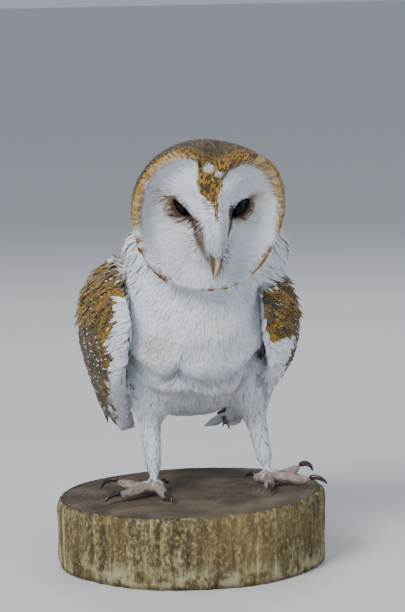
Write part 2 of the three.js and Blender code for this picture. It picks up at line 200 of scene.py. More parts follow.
class Nodes:
    """A short hand for wiring a material: each call adds one node and links its inputs."""

    def __init__(self, name):
        self.material = bpy.data.materials.new(name)
        self.material.use_nodes = True
        self.tree = self.material.node_tree
        self.skin = self.tree.nodes["Principled BSDF"]

    def add(self, kind, settings=None, **inputs):
        node = self.tree.nodes.new("ShaderNode" + kind)
        for key, value in (settings or {}).items():
            setattr(node, key, value)
        for key, value in inputs.items():
            self.feed(node.inputs[key.replace("_", " ")], value)
        return node

    def feed(self, socket, value):
        if isinstance(value, bpy.types.NodeSocket):
            self.tree.links.new(value, socket)
        else:
            socket.default_value = value

    def place(self, scale=(1, 1, 1)):
        where = self.add("TexCoord").outputs["Object"]
        return self.add("Mapping", Vector=where, Scale=scale).outputs["Vector"]

    def noise(self, vector, scale, detail=4.0, roughness=0.55):
        node = self.add("TexNoise", Vector=vector, Scale=scale, Detail=detail, Roughness=roughness)
        return node.outputs["Fac"]

    def ramp(self, value, stops):
        node = self.add("ValToRGB", Fac=value)
        band = node.color_ramp
        for place, _ in stops[2:]:
            band.elements.new(place)
        for element, (place, colour) in zip(band.elements, stops):
            element.position = place
            element.color = (*colour, 1)
        return node.outputs["Color"]

    def mix(self, share, one, other, blend="MIX"):
        node = self.add("Mix", {"data_type": "RGBA", "blend_type": blend, "clamp_factor": True})
        self.feed(node.inputs["Factor"], share)
        self.feed(node.inputs["A"], one if isinstance(one, bpy.types.NodeSocket) else (*one, 1))
        self.feed(node.inputs["B"], other if isinstance(other, bpy.types.NodeSocket) else (*other, 1))
        return node.outputs["Result"]

    def maths(self, operation, one, other=0.0):
        node = self.add("Math", {"operation": operation})
        self.feed(node.inputs[0], one)
        self.feed(node.inputs[1], other)
        return node.outputs[0]

    def times(self, one, other):
        return self.maths("MULTIPLY", one, other)

    def plus(self, one, other):
        return self.maths("ADD", one, other)

    def between(self, value, low, high, to_low=0.0, to_high=1.0):
        node = self.add("MapRange", {"interpolation_type": "SMOOTHSTEP"}, Value=value)
        for key, number in (("From Min", low), ("From Max", high), ("To Min", to_low), ("To Max", to_high)):
            self.feed(node.inputs[key], number)
        return node.outputs["Result"]

    def bump(self, height, strength, distance):
        node = self.add("Bump", Height=height, Strength=strength, Distance=distance)
        self.feed(self.skin.inputs["Normal"], node.outputs["Normal"])

    def set(self, **values):
        for key, value in values.items():
            self.feed(self.skin.inputs[key.replace("_", " ")], value)
        return self.material


def worn_bark():
    wood = Nodes("worn bark")
    upright = wood.place((1, 1, 0.16))
    streak = wood.noise(upright, 210, 6, 0.62)
    fine = wood.noise(wood.place((1, 1, 0.3)), 900, 4, 0.6)
    broad = wood.noise(wood.place((1, 1, 0.5)), 32, 3)
    colour = wood.ramp(streak, [
        (0.30, (0.026, 0.021, 0.011)), (0.43, (0.10, 0.079, 0.038)), (0.54, (0.21, 0.170, 0.080)),
        (0.68, (0.42, 0.36, 0.19)),
    ])
    colour = wood.mix(wood.between(fine, 0.35, 0.75, 0, 0.55), colour, (0.055, 0.040, 0.020))
    speck = wood.noise(wood.place((1, 1, 0.7)), 520, 3, 0.65)
    colour = wood.mix(wood.between(speck, 0.50, 0.57, 0, 0.65), colour, (0.034, 0.029, 0.016))
    colour = wood.mix(wood.between(speck, 0.43, 0.36, 0, 0.45), colour, (0.46, 0.40, 0.20))
    colour = wood.mix(wood.between(broad, 0.40, 0.66, 0, 0.40), colour, (0.25, 0.165, 0.055))
    height = wood.add("SeparateXYZ", Vector=wood.place()).outputs["Z"]
    drips = wood.noise(wood.place((1, 1, 0.05)), 120, 2, 0.5)
    drip = wood.times(wood.between(drips, 0.62, 0.68), wood.between(fine, 0.35, 0.6))
    colour = wood.mix(wood.times(drip, 0.75), colour, (0.60, 0.52, 0.27))
    low_down = wood.between(height, 0.017, 0.006)
    lichen = wood.times(low_down, wood.between(wood.noise(wood.place(), 95, 5), 0.42, 0.60))
    colour = wood.mix(wood.times(lichen, 0.6), colour, (0.50, 0.46, 0.27))
    # The bark turns nearly black in its lowest few millimetres, next to the floor.
    colour = wood.mix(wood.between(height, 0.004, 0.0005, 0, 0.6), colour, (0.03, 0.02, 0.01))
    wood.bump(wood.plus(streak, wood.times(fine, 0.5)), 0.7, 0.0012)
    return wood.set(Base_Color=colour, Roughness=0.88, Specular_IOR_Level=0.25)


def grey_saw_cut():
    wood = Nodes("grey saw cut")
    place = wood.place()
    spread = wood.add("VectorMath", {"operation": "LENGTH"}, Vector=wood.place((1, 1, 0))).outputs["Value"]
    wobble = wood.noise(place, 18, 3)
    uneven = wood.plus(spread, wood.times(wobble, 0.010))
    rings = wood.maths("SINE", wood.times(uneven, 1700))
    stain = wood.noise(place, 42, 5)
    fine = wood.noise(wood.place((1, 5, 1)), 420, 4, 0.6)
    colour = wood.ramp(stain, [
        (0.30, (0.040, 0.028, 0.020)), (0.48, (0.105, 0.078, 0.055)), (0.66, (0.19, 0.145, 0.10)),
    ])
    colour = wood.mix(wood.between(rings, -0.2, 1, 0, 0.35), colour, (0.050, 0.034, 0.022))
    colour = wood.mix(wood.between(fine, 0.45, 0.72, 0, 0.4), colour, (0.21, 0.17, 0.13))
    colour = wood.mix(wood.between(spread, 0.0745, 0.0785, 0, 0.85), colour, (0.022, 0.014, 0.009))
    wood.bump(wood.plus(wood.times(rings, 0.15), fine), 0.5, 0.0008)
    return wood.set(Base_Color=colour, Roughness=0.84, Specular_IOR_Level=0.3)


log_slice.data.materials.append(worn_bark())
log_slice.data.materials.append(grey_saw_cut())
on_sawn_top = top & (reach < 0.985)
for face in log_slice.data.polygons:
    face.material_index = 1 if sum(on_sawn_top[v] for v in face.vertices) >= 3 else 0
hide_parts("log_base")
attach(log_slice, "root")

# ---------- the mounted skin ----------
# One skin is drawn over the modelled body and sewn up out of sight, from the face to the toes. The lids
# are part of it, and it lies under the feathers by the depth of the coat at each place.

FLESH_VOXEL = 1.6
FLESH = (
    "head", "neck", "trunk", "tail", "wing_right", "wing_left", "thigh_right", "thigh_left",
    "shank_right", "shank_left", "foot_right", "foot_left",
)
BLADE_CUT = 108.0
WING_FRONT_MIDDLE = {-1: -51.0, 1: 55.0}
HEAD_AT = np.array([5.2, -69.0, 214.0])
HEAD_PITCH, HEAD_ROLL, HEAD_YAW = (math.radians(a) for a in (12.0, 4.4, 4.5))
HEAD_TURN = np.array(
    Matrix.Rotation(HEAD_YAW, 3, "Z")
    @ Matrix.Rotation(HEAD_PITCH, 3, "X")
    @ Matrix.Rotation(HEAD_ROLL, 3, "Y")
)
DISC_RADII = (30, 42, 46.5, 46, 44.5, 44, 45.5, 44.5, 42)
RIDGE_LEVELS = (-40, -28, -22, -19.6, -17.8, -16, -12, -8, -3, 8, 20, 32)
RIDGE_HEIGHTS = (3, 4, 10, 15, 21.5, 25.2, 25.4, 22.8, 18.2, 12, 5, 2)
RIDGE_WIDTHS = (9, 8, 6.4, 5.8, 5.6, 5.8, 7.2, 8.6, 9.4, 9.4, 7.5, 6.5)
EYE_RADIUS = 9.5
DOME_RADIUS = EYE_RADIUS + 1.3
FOLD_ACROSS = (-40, -34, -26, -20, -15, -11, -7, 0, 10, 21, 29, 35, 42)
FOLD_HEIGHT = (134, 127, 118.5, 115, 116.5, 121, 116.5, 114, 113.5, 115.5, 120.5, 126, 130)
SECOND_FOLD_HEIGHT = (114, 112, 108.5, 105.5, 103, 102.5, 105, 105.5, 101, 101.5, 106, 111, 116)
FLANK_HEIGHT = (96, 98, 107, 115, 122, 128)
FLANK_ACROSS = (24, 25, 28.3, 31.3, 35.2, 39)
EYE_AT = np.array([16.7, 11.5, 6.0])
LID_MIDDLE_X = 16.7
LID_MIDDLE_Z = {-1: 5.4, 1: 6.2}
LID_TILT = math.radians(43)
LID_LENGTH = 7.8
LID_OPENING = {-1: (1.2, 3.5), 1: (4.0, 4.0)}
BEHIND_THE_FACE = 30.0


def merged_copy(node):
    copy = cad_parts[node].copy()
    copy.data = copy.data.copy()
    copy.parent = None
    for key in list(copy.keys()):
        del copy[key]
    bpy.context.collection.objects.link(copy)
    take_up(copy)
    bpy.ops.object.mode_set(mode="EDIT")
    bpy.ops.mesh.select_all(action="SELECT")
    bpy.ops.mesh.remove_doubles(threshold=0.00001)
    bpy.ops.object.mode_set(mode="OBJECT")
    return copy


def modify(obj, kind, **settings):
    bpy.context.view_layer.objects.active = obj
    modifier = obj.modifiers.new(kind, kind)
    for key, value in settings.items():
        setattr(modifier, key, value)
    bpy.ops.object.modifier_apply(modifier=modifier.name)


def joined(pieces, name):
    bpy.ops.object.select_all(action="DESELECT")
    for piece in pieces:
        piece.select_set(True)
    bpy.context.view_layer.objects.active = pieces[0]
    if len(pieces) > 1:
        bpy.ops.object.join()
    pieces[0].name = name
    return pieces[0]


def bell(value, middle, width):
    return np.exp(-(((value - middle) / width) ** 2))


def curve_row(values, share):
    """A smooth curve through evenly spaced values, read at shares of its length."""
    values = np.asarray(values, dtype=float)
    padded = np.concatenate([values[:1] * 2 - values[1:2], values, values[-1:] * 2 - values[-2:-1]])
    place = np.clip(share, 0, 1) * (len(values) - 1)
    step = np.minimum(place.astype(int), len(values) - 2)
    s = place - step
    if values.ndim > 1:
        s = s[..., None]
    a, b, c, d = (padded[step + i] for i in range(4))
    return 0.5 * (2 * b + (c - a) * s + (2 * a - 5 * b + 4 * c - d) * s**2 + (3 * b - a - 3 * c + d) * s**3)


def normalised(vectors):
    return vectors / np.maximum(np.linalg.norm(vectors, axis=-1, keepdims=True), 1e-9)


def to_head(points):
    return (points - HEAD_AT) @ HEAD_TURN


def from_head(points):
    return points @ HEAD_TURN.T + HEAD_AT


def disc_share(x, z):
    """How far out a place on the face is, from 0 at its middle to 1 at the edge of the disc."""
    from_notch = np.abs(np.arctan2(x, z)) / math.pi
    return np.hypot(x, z) / curve_row(DISC_RADII, from_notch)


def face_forward(x, z):
    dish = -9 * bell(np.abs(x), 29, 14) * bell(z, -4, 30)
    brow = 4 * bell(np.abs(x), 10, 7) * bell(z, 19, 8)
    share = disc_share(x, z)
    rim = 3.8 * smoothstep(share, 0.70, 0.97) - 2.2 * smoothstep(share, 0.95, 1)
    squareness = np.interp(z, (-12, 0), (3.2, 2.0))
    ridge = np.exp(-((np.abs(x) / np.interp(z, RIDGE_LEVELS, RIDGE_WIDTHS)) ** squareness))
    along, across, half = lid_place(x, z)
    frown = 2.2 * bell(across, half + 2.8, 2.3) * bell(along, -1, 7.5) * (across > 0)
    return dish + brow + rim + frown - 0.0026 * x * x + ridge * np.interp(z, RIDGE_LEVELS, RIDGE_HEIGHTS)


def lid_place(x, z):
    """Place beside the nearer eye: along the slit of the lids, across it, and the half width there."""
    dx, dz = np.abs(x) - LID_MIDDLE_X, z - np.where(x < 0, LID_MIDDLE_Z[-1], LID_MIDDLE_Z[1])
    along = dx * math.cos(LID_TILT) + dz * math.sin(LID_TILT)
    across = -dx * math.sin(LID_TILT) + dz * math.cos(LID_TILT)
    above = np.where(x < 0, LID_OPENING[-1][0], LID_OPENING[1][0])
    below = np.where(x < 0, LID_OPENING[-1][1], LID_OPENING[1][1])
    half = np.where(across > 0, above, below) * np.clip(1 - (along / LID_LENGTH) ** 2, 0, 1) ** 0.7
    return along, across, half


def ball_front(x, z):
    """How far back the front of the nearer eyeball is, and where it isn't, far behind the face."""
    away = np.hypot(np.abs(x) - EYE_AT[0], z - EYE_AT[2])
    front = EYE_AT[1] - np.sqrt(np.clip(EYE_RADIUS**2 - away**2, 0, None))
    return np.where(away < EYE_RADIUS, front, BEHIND_THE_FACE), away


bpy.ops.object.select_all(action="DESELECT")
bpy.ops.mesh.primitive_cube_add(size=0.4, location=(0, BLADE_CUT * MM + 0.2, 0.1))
cutter = bpy.context.object
cast = FLESH + ("eye_right", "eye_left")
copies = [merged_copy(node) for node in cast]
for copy, node in zip(copies, cast):
    if node.startswith("wing") or node == "tail":
        modify(copy, "BOOLEAN", operation="DIFFERENCE", object=cutter, solver="EXACT")
    modify(copy, "DISPLACE", strength=0.4 * MM, mid_level=0)
bpy.data.objects.remove(cutter)
form = joined(copies, "form")
form.data.remesh_voxel_size = FLESH_VOXEL * MM
bpy.ops.object.voxel_remesh()

# The solids' flats are smoothed away on the body, less on the thin legs and wings, and not on the toes.
points = coordinates(form) / MM
edges = np.empty(len(form.data.edges) * 2, dtype=int)
form.data.edges.foreach_get("vertices", edges)
edges = edges.reshape(-1, 2)
ties = np.bincount(edges.ravel(), minlength=len(points))[:, None]
softness = 0.6 * smoothstep(points[:, 2], 52, 70)


def relaxed(values, strength, rounds):
    for _ in range(rounds):
        total = np.zeros_like(values)
        for axis in range(values.shape[1]):
            total[:, axis] = np.bincount(
                edges.ravel(), weights=values[edges[:, ::-1].ravel(), axis], minlength=len(values)
            )
        values = values + strength[:, None] * (total / ties - values)
    return values


points = relaxed(points, softness, 12)
points = relaxed(points, 0.3 * smoothstep(points[:, 2], 50, 60), 2)
put_coordinates(form, points * MM)


def vertex_normals(obj):
    flat = np.empty(len(obj.data.vertices) * 3)
    obj.data.vertices.foreach_get("normal", flat)
    return flat.reshape(-1, 3)


node_tree, node_owner, offset = [], [], 0
solid_points, solid_faces = [], []
for index, node in enumerate(FLESH):
    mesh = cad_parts[node].data
    mesh.calc_loop_triangles()
    solid_points += [vertex.co / MM for vertex in mesh.vertices]
    solid_faces += [[v + offset for v in triangle.vertices] for triangle in mesh.loop_triangles]
    node_owner += [index] * len(mesh.loop_triangles)
    offset += len(mesh.vertices)
solid_tree = BVHTree.FromPolygons(solid_points, solid_faces)
node_owner = np.array(node_owner)


def owner_of(places):
    """Which of the flesh nodes each place belongs to, as an index into FLESH."""
    return node_owner[[solid_tree.find_nearest(Vector(p))[2] for p in places]]


def belongs(owner, *names):
    return np.isin(owner, [FLESH.index(name) for name in names])


# The neck's sides and the inner faces of the wings are pressed in, and the hollows between them filled.
owner = owner_of(points)
beside = smoothstep(np.abs(points[:, 0] - 5), 26, 44) * bell(points[:, 2], 215, 17)
beside *= smoothstep(-points[:, 1], 0, 14)
collar = relaxed((beside * belongs(owner, "neck"))[:, None], np.full(len(points), 0.6), 10)[:, 0]
points[:, 0] -= np.sign(points[:, 0]) * collar * np.where(points[:, 0] < 0, 12.0, 4.0)
for side, name, push in ((-1, "wing_right", 3.0), (1, "wing_left", 5.0)):
    inner = smoothstep(side * (WING_FRONT_MIDDLE[side] - points[:, 0]), -4, 5)
    near_front = smoothstep(-points[:, 1], 2, 26) * bell(points[:, 2], 152, 30)
    shift = (inner * near_front * belongs(owner, name))[:, None]
    shift = relaxed(shift, np.full(len(points), 0.6), 6)[:, 0]
    points[:, 0] -= side * push * shift
filling = smoothstep(points[:, 2], 75, 95) * ~belongs(owner, "head") * (points[:, 1] < 60)
for _ in range(26):
    put_coordinates(form, points * MM)
    normals = vertex_normals(form)
    pull = relaxed(points, filling * 0.6, 1) - points
    outwards = (pull * normals).sum(1)
    points += normals * np.clip(outwards, 0, None)[:, None] * np.where(points[:, :1] < 0, 0.8, 1.0)

# The face takes its true shape again: a dish round each eye, a ridge down to the beak, and a raised rim.
head = to_head(points)
share = disc_share(head[:, 0], head[:, 2])
front = -face_forward(head[:, 0], head[:, 2])
facing = (vertex_normals(form) @ HEAD_TURN)[:, 1] < 0.3
on_face = belongs(owner, "head") & (share < 1.02) & (head[:, 1] < 18) & facing
weight = np.where(on_face, 1 - smoothstep(share, 0.93, 1.02), 0)
head[:, 1] += weight * (front - 0.4 - head[:, 1])
ball, away = ball_front(head[:, 0], head[:, 2])
dome = EYE_AT[1] - np.sqrt(np.clip(DOME_RADIUS**2 - away**2, 0, None))
head[:, 1] = np.where(on_face & (away < DOME_RADIUS), np.minimum(head[:, 1], dome), head[:, 1])
rim_back = belongs(owner, "head") & ~facing & (share > 0.75) & (share < 1.05) & (head[:, 1] < front + 4)
thickness = 0.8 + 2.6 * (1 - smoothstep(share, 0.92, 1.0))
head[:, 1] = np.where(rim_back, np.maximum(head[:, 1], front + thickness), head[:, 1])
points = np.where((on_face | rim_back)[:, None], from_head(head), points)
settle = np.where(on_face, 0.35 * smoothstep(share, 0.0, 0.2), 0)
points = relaxed(points, settle, 2)


def breast_creases(points):
    """How close each point lies to a crease of the breast: the great fold, the lesser one, the flank's."""
    x, y, z = points.T
    great = bell(z, np.interp(x, FOLD_ACROSS, FOLD_HEIGHT), 2.6)
    lesser = 0.6 * bell(z, np.interp(x, FOLD_ACROSS, SECOND_FOLD_HEIGHT), 2.3) * smoothstep(-x, -27, -20)
    flank = 0.75 * bell(x, np.interp(z, FLANK_HEIGHT, FLANK_ACROSS), 2.4) * smoothstep(z, 95, 100) * (z < 128)
    return np.maximum(np.maximum(great, lesser), flank) * smoothstep(-y, 4, 14)


# The breast sags into a full fold across the chest and a lesser one below it.
put_coordinates(form, points * MM)
normals = vertex_normals(form)
x, y, z = points.T
fold = np.interp(x, FOLD_ACROSS, FOLD_HEIGHT)
second_fold = np.interp(x, FOLD_ACROSS, SECOND_FOLD_HEIGHT)
breast = belongs(owner, "trunk", "neck") * smoothstep(-y, 4, 14)
swell = (2.0 + 1.2 * smoothstep(-y, 18, 34)) * bell(z, fold + 9, 8) + 2.2 * bell(z, second_fold + 6, 4.5)
swell -= 4.8 * breast_creases(points)
cleft = 1.6 * bell(x, -11, 3.0) * bell(z, fold + 1, 5) + 1.6 * bell(x, -3, 2.6) * bell(z, 102, 6)
dent = 1.2 * rough(points * np.array([1, 1, 0.7]), 15.0, 2, 4.0) - cleft
points += normals * ((swell + dent) * breast)[:, None]
put_coordinates(form, points * MM)
take_up(form)
bpy.ops.object.mode_set(mode="EDIT")
bpy.ops.mesh.select_all(action="SELECT")
bpy.ops.uv.smart_project(angle_limit=math.radians(75), island_margin=0.002)
bpy.ops.object.mode_set(mode="OBJECT")
form.data.uv_layers[0].name = "OFBake"
form.data.shade_smooth()

# How far the feathers stand off the skin, in mm, for each of the flesh nodes.
COAT_DEPTH = {
    "head": 1.6, "neck": 3.0, "trunk": 3.2, "tail": 0.8, "wing_right": 1.6, "wing_left": 1.6,
    "thigh_right": 2.6, "thigh_left": 2.6, "shank_right": 1.5, "shank_left": 1.5,
    "foot_right": 0.3, "foot_left": 0.3,
}
WING_SPINE = np.array([
    [42, -49, 155], [55, -22, 153], [56, 14, 141], [51, 56, 119], [44, 100, 95], [36, 140, 77],
], dtype=float)
WING_ACROSS = (32, 40, 43, 42, 35, 20)
LEAN = 0.06
LEAN_PIVOT = 168.0


def upright(points):
    """Takes out the owl's sideways lean, so that left and right match."""
    return points - np.stack([LEAN * (LEAN_PIVOT - points[:, 2]), 0 * points[:, 0], 0 * points[:, 0]], 1)


wing_shares = np.linspace(-0.05, 1.12, 160)
wing_line = curve_row(WING_SPINE, wing_shares)
wing_line += np.clip(wing_shares - 1, 0, 1)[:, None] * 5 * (WING_SPINE[-1] - WING_SPINE[-2])
wing_line += np.clip(-wing_shares, 0, 1)[:, None] * 5 * (WING_SPINE[0] - WING_SPINE[1])
wing_along = normalised(np.gradient(wing_line, axis=0))
wing_upper = normalised(np.cross([1.0, 0, 0], wing_along * [0, 1, 1]))


def wing_place(points):
    """Places on a wing: the share of its length, -1 to 1 from front edge to back, and the step."""
    flat = upright(points)
    gap = np.linalg.norm(flat[:, None, 1:] - wing_line[None, :, 1:], axis=2)
    step = gap.argmin(1)
    share = wing_shares[step]
    up = ((flat - wing_line[step])[:, 1:] * wing_upper[step, 1:]).sum(1)
    return share, up / curve_row(WING_ACROSS, share), step


# The plumage's own colours.
SNOW = np.array([0.81, 0.85, 0.905])
CREAM = np.array([0.70, 0.60, 0.43])
GOLD = np.array([0.46, 0.255, 0.035])
BUFF = np.array([0.42, 0.28, 0.12])
UMBER = np.array([0.085, 0.060, 0.040])
ASH = np.array([0.115, 0.098, 0.082])
RUST = np.array([0.15, 0.060, 0.018])
LID_BROWN = np.array([0.030, 0.016, 0.010])
TOE_PINK = np.array([0.40, 0.30, 0.27])
DASH_BROWN = np.array([0.38, 0.185, 0.022])
STREAK_TAN = np.array([0.19, 0.090, 0.022])
BRISTLE_AND_SHADE_BROWN = np.array([0.13, 0.070, 0.030])
RIDGE_SHADE_GREY = np.array([0.36, 0.40, 0.38])
WARM_WHITE = np.array([0.62, 0.50, 0.35])
STAIN_BUFF = np.array([0.66, 0.53, 0.36])


def mixed(one, other, share):
    share = np.clip(share, 0, 1)[..., None]
    return one * (1 - share) + other * share


NOTCH_LEVELS = (1, 3, 6, 8.4, 10.8, 13.2, 15.5, 18.2, 22, 26.5, 31, 35, 39)
NOTCH_LEFT = (-1.4, -1.9, -2.6, -3.3, -4.5, -6.2, -8.1, -9.8, -10.6, -10.2, -11.2, -13, -26)
NOTCH_RIGHT = (-1.4, -0.6, 0.0, 0.3, 0.4, 0.3, 1.1, 2.4, 3.2, 3.4, 7.0, 17.5, 34)


def notch_share(x, z):
    """More than 0 inside the pointed patch of gold feathers that runs down between the brows."""
    left = np.interp(z, NOTCH_LEVELS, NOTCH_LEFT)
    right = np.interp(z, NOTCH_LEVELS, NOTCH_RIGHT)
    return np.minimum(x - left, right - x)


def streak_share(x, z):
    """Near 1 on the rusty line from the inner corner of each eye; the right one runs on to the beak as
    painted shade.
    """
    left_line = np.interp(z, (-20, -16.7, -12.6, -6.5, -2.2, 1.4), (4.4, 6.1, 7.9, 9.6, 11.1, 12.6))
    right_line = np.interp(z, (-33, -28, -23, -16, -9.5, 1), (7.6, 8.6, 9.2, 9.8, 10.6, 11.0))
    left = bell(x, -left_line, np.interp(z, (-20, -9, -2), (1.5, 2.0, 2.3))) * smoothstep(z, -22, -19)
    right = bell(x, right_line, np.interp(z, (-33, -14, 0), (1.6, 2.2, 1.9))) * smoothstep(z, -34, -31)
    return (left + right) * smoothstep(-z, -3, 1)


def lid_gap(x, z):
    along, across, half = lid_place(x, z)
    return np.hypot(np.clip(np.abs(along) - LID_LENGTH, 0, None), np.clip(np.abs(across) - half, 0, None))


# By degrees round the dish from its top: where the rim's band starts, and the arcs that are dashed.
BAND_DEGREES = (-180, -104, -83, -60, -35, -20, 0, 13, 31, 44, 62, 76, 95, 180)
BAND_STARTS = (
    0.94, 0.925, 0.92, 0.94, 0.94, 0.925, 0.90, 0.87, 0.885, 0.885, 0.88, 0.92, 0.94, 0.94,
)
RIM_DASHES = ((-152, -110), (114, 143), (150, 184), (-184, -176))


def dash_share(degrees):
    """How strongly the broken brown line of the lower rim shows, by degrees around the dish."""
    arcs = 0
    for low, high in RIM_DASHES:
        arcs = arcs + smoothstep(degrees, low - 3, low + 3) * smoothstep(-degrees, -high - 3, -high + 3)
    places = np.stack([degrees / 5.0, 0 * degrees, 0 * degrees], 1)
    return arcs * smoothstep(rough(places, 1.0, 2, 71.0), -0.22, -0.06)


def crown_markings(points, behind, fleck):
    """Grey washed with gold, flecked dark and pale, and dimmed, more so towards the back: darker plumage and
    painted shade.
    """
    blotch = rough(points, 5.0, 3, 3.0)
    gold = smoothstep(blotch + 0.5 * smoothstep(-behind, -22, -2), -0.15, 0.35)
    tint = mixed(mixed(ASH, UMBER, 0.4), GOLD, gold * 0.85)
    tint = mixed(tint, UMBER, smoothstep(fleck, 0.12, 0.3) * 0.75)
    tint = mixed(tint, CREAM, smoothstep(-fleck, 0.30, 0.42) * 0.40)
    # Dimmed overall and more towards the back: partly darker plumage, partly painted shade.
    return tint * (0.54 - 0.17 * smoothstep(behind, 6, 22))[:, None]


def rim_markings(z, share, degrees, fleck):
    """The rim's band is gold above, and white below with broken orange brown dashes."""
    ring = mixed(GOLD, CREAM, smoothstep(fleck, 0.0, 0.2) * 0.5)
    ring = mixed(ring, UMBER, smoothstep(-fleck, 0.12, 0.25) * 0.55)
    outer = smoothstep(share, 0.945, 0.965) * smoothstep(-share, -1.03, -1.0)
    lower = mixed(SNOW, DASH_BROWN, dash_share(degrees) * outer)
    return mixed(ring, lower, smoothstep(-z, 6, 14))


def dish_markings(x, z):
    """The dish is white with rust run out from the eyes and down beside the ridge, and painted shade by the
    ridge and beak.
    """
    gap = lid_gap(x, z)
    _, lid_across, _ = lid_place(x, z)
    side_x = np.abs(x) - LID_MIDDLE_X
    level = z - np.where(x < 0, LID_MIDDLE_Z[-1], LID_MIDDLE_Z[1])
    angle = np.arctan2(level, side_x)
    rays = np.stack([np.cos(angle) * 9, np.sin(angle) * 9, gap * 0.09 + np.sign(x) * 4], 1)
    ray = smoothstep(rough(rays, 1.0, 2, 2.0), -0.12, 0.20)
    outer = smoothstep(-lid_across, -1.0, 1.5) * smoothstep(side_x, -6, 4)
    outer = np.maximum(outer, smoothstep(side_x, 3.0, 6.0) * smoothstep(-level, -9, -4))
    reach = 4.0 + 6.5 * smoothstep(side_x, -4, 7)
    rust = smoothstep(-gap / reach, -1.0, -0.15) * (0.12 + 0.88 * ray) * outer
    rust = np.maximum(rust, smoothstep(-gap, -1.4, -0.3) * (0.35 + 0.65 * (lid_across < 0)))
    tint = mixed(SNOW, CREAM, 0.55 * smoothstep(-gap, -17, -3) * outer)
    tint = mixed(tint, RUST, rust)
    tint = mixed(tint, RUST * 0.35, smoothstep(-gap, -2.6, -0.4) * outer * 0.8)
    # The streak is rusty above and tan lower down; the right one's long lower run is painted shade of the
    # ridge and beak.
    streak = mixed(RUST * 0.55, STREAK_TAN, smoothstep(-z, 7, 13))
    tint = mixed(tint, streak, smoothstep(streak_share(x, z), 0.15, 0.6))
    # Painted shade: a dark patch in the hollow between the ridge and the eye, on one side only.
    hollow = (x > 0) * np.exp(-(((x - 10.6) / 2.4) ** 2) - ((z - 5.6) / 5.4) ** 2)
    tint = mixed(tint, LID_BROWN * 0.6, smoothstep(hollow, 0.18, 0.45) * 0.95)
    # Beside the beak: a dark brown zone, partly its rictal bristles and partly painted shade of the beak.
    bill_left = np.interp(z, (-35, -26.5, -20), (5.4, 0.4, -4.2))
    bill_right = np.interp(z, (-35, -28, -22), (7.0, 9.6, 10.6))
    beside_bill = smoothstep(np.minimum(x - bill_left, bill_right - x), -0.8, 0.8)
    beside_bill *= smoothstep(z, -36, -34) * smoothstep(-z, 19, 21)
    tint = mixed(tint, BRISTLE_AND_SHADE_BROWN, beside_bill * 0.75)
    # Painted shade: the lower part of the ridge is greyed.
    grey = bell(x, 0, 6.0) * smoothstep(-z, -2, 12) * smoothstep(z, -25, -21)
    return mixed(tint, RIDGE_SHADE_GREY, 0.75 * grey)


def notch_markings(x, z, fleck):
    """Gold speckled with umber between the brows, with two small white spots."""
    tint = mixed(GOLD * 1.15, UMBER * 0.6, smoothstep(fleck, -0.10, 0.08) * 0.9)
    pale = np.exp(-(((x + 6) / 3.0) ** 2 + ((z - 30) / 3.4) ** 2))
    pale = pale + np.exp(-(((x - 0.5) / 2.6) ** 2 + ((z - 27) / 2.4) ** 2))
    return mixed(tint, SNOW, smoothstep(pale, 0.35, 0.6) * 0.9)


def head_markings(points):
    x, y, z = to_head(points).T
    share = disc_share(x, z)
    degrees = np.degrees(np.arctan2(x, z))
    behind = y + face_forward(x, z)
    fleck = rough(points, 1.7, 2, 7.0)
    cheek = smoothstep(-z, 2, 16) * smoothstep(-y, -34, -16)
    front_side = smoothstep(-behind, -9, -5)
    band = smoothstep(share - np.interp(degrees, BAND_DEGREES, BAND_STARTS), -0.01, 0.02)
    dish = (1 - band) * front_side * (notch_share(x, z) < 0)
    notch = smoothstep(notch_share(x, z), 0.0, 0.8) * smoothstep(z, 0, 3) * front_side
    tint = mixed(crown_markings(points, behind, fleck), SNOW, cheek)
    tint = mixed(tint, rim_markings(z, share, degrees, fleck), band * front_side)
    tint = mixed(tint, dish_markings(x, z), dish)
    tint = mixed(tint, notch_markings(x, z, fleck), notch)
    return tint, 0.5 * (1 - cheek) * (1 - dish) * (1 - notch) * (1 - band * front_side)


# Where white ends on each wing: by place across it, how far along, and by place along, how far across.
WHITE_FRONT = {
    -1: (
        (-1.0, -0.88, -0.82, -0.76, -0.63, -0.44, -0.23, 0, 0.2, 0.4, 0.5, 0.58),
        (0.7, 0.46, 0.37, 0.23, 0.135, 0.10, 0.068, 0.056, 0.062, 0.085, 0.05, -0.05),
    ),
    1: ((-1.0, -0.76, -0.64, -0.52, -0.44, -0.40, -0.36), (0.36, 0.22, 0.18, 0.155, 0.13, 0.04, -0.05)),
}
WHITE_BORDER = {
    -1: ((0, 0.3, 0.37, 0.49, 0.54, 0.64, 0.8, 1), (-0.9, -0.88, -0.82, -0.80, -0.76, -0.74, -0.76, -0.8)),
    1: ((0, 0.3, 0.45, 1), (-0.88, -0.84, -0.84, -0.86)),
}
# The owl's right wing gets a heavier umber share than its left, as painted shade on the wing in shadow.
WING_DARKNESS_AND_SHADE = {-1: 0.85, 1: 0.62}


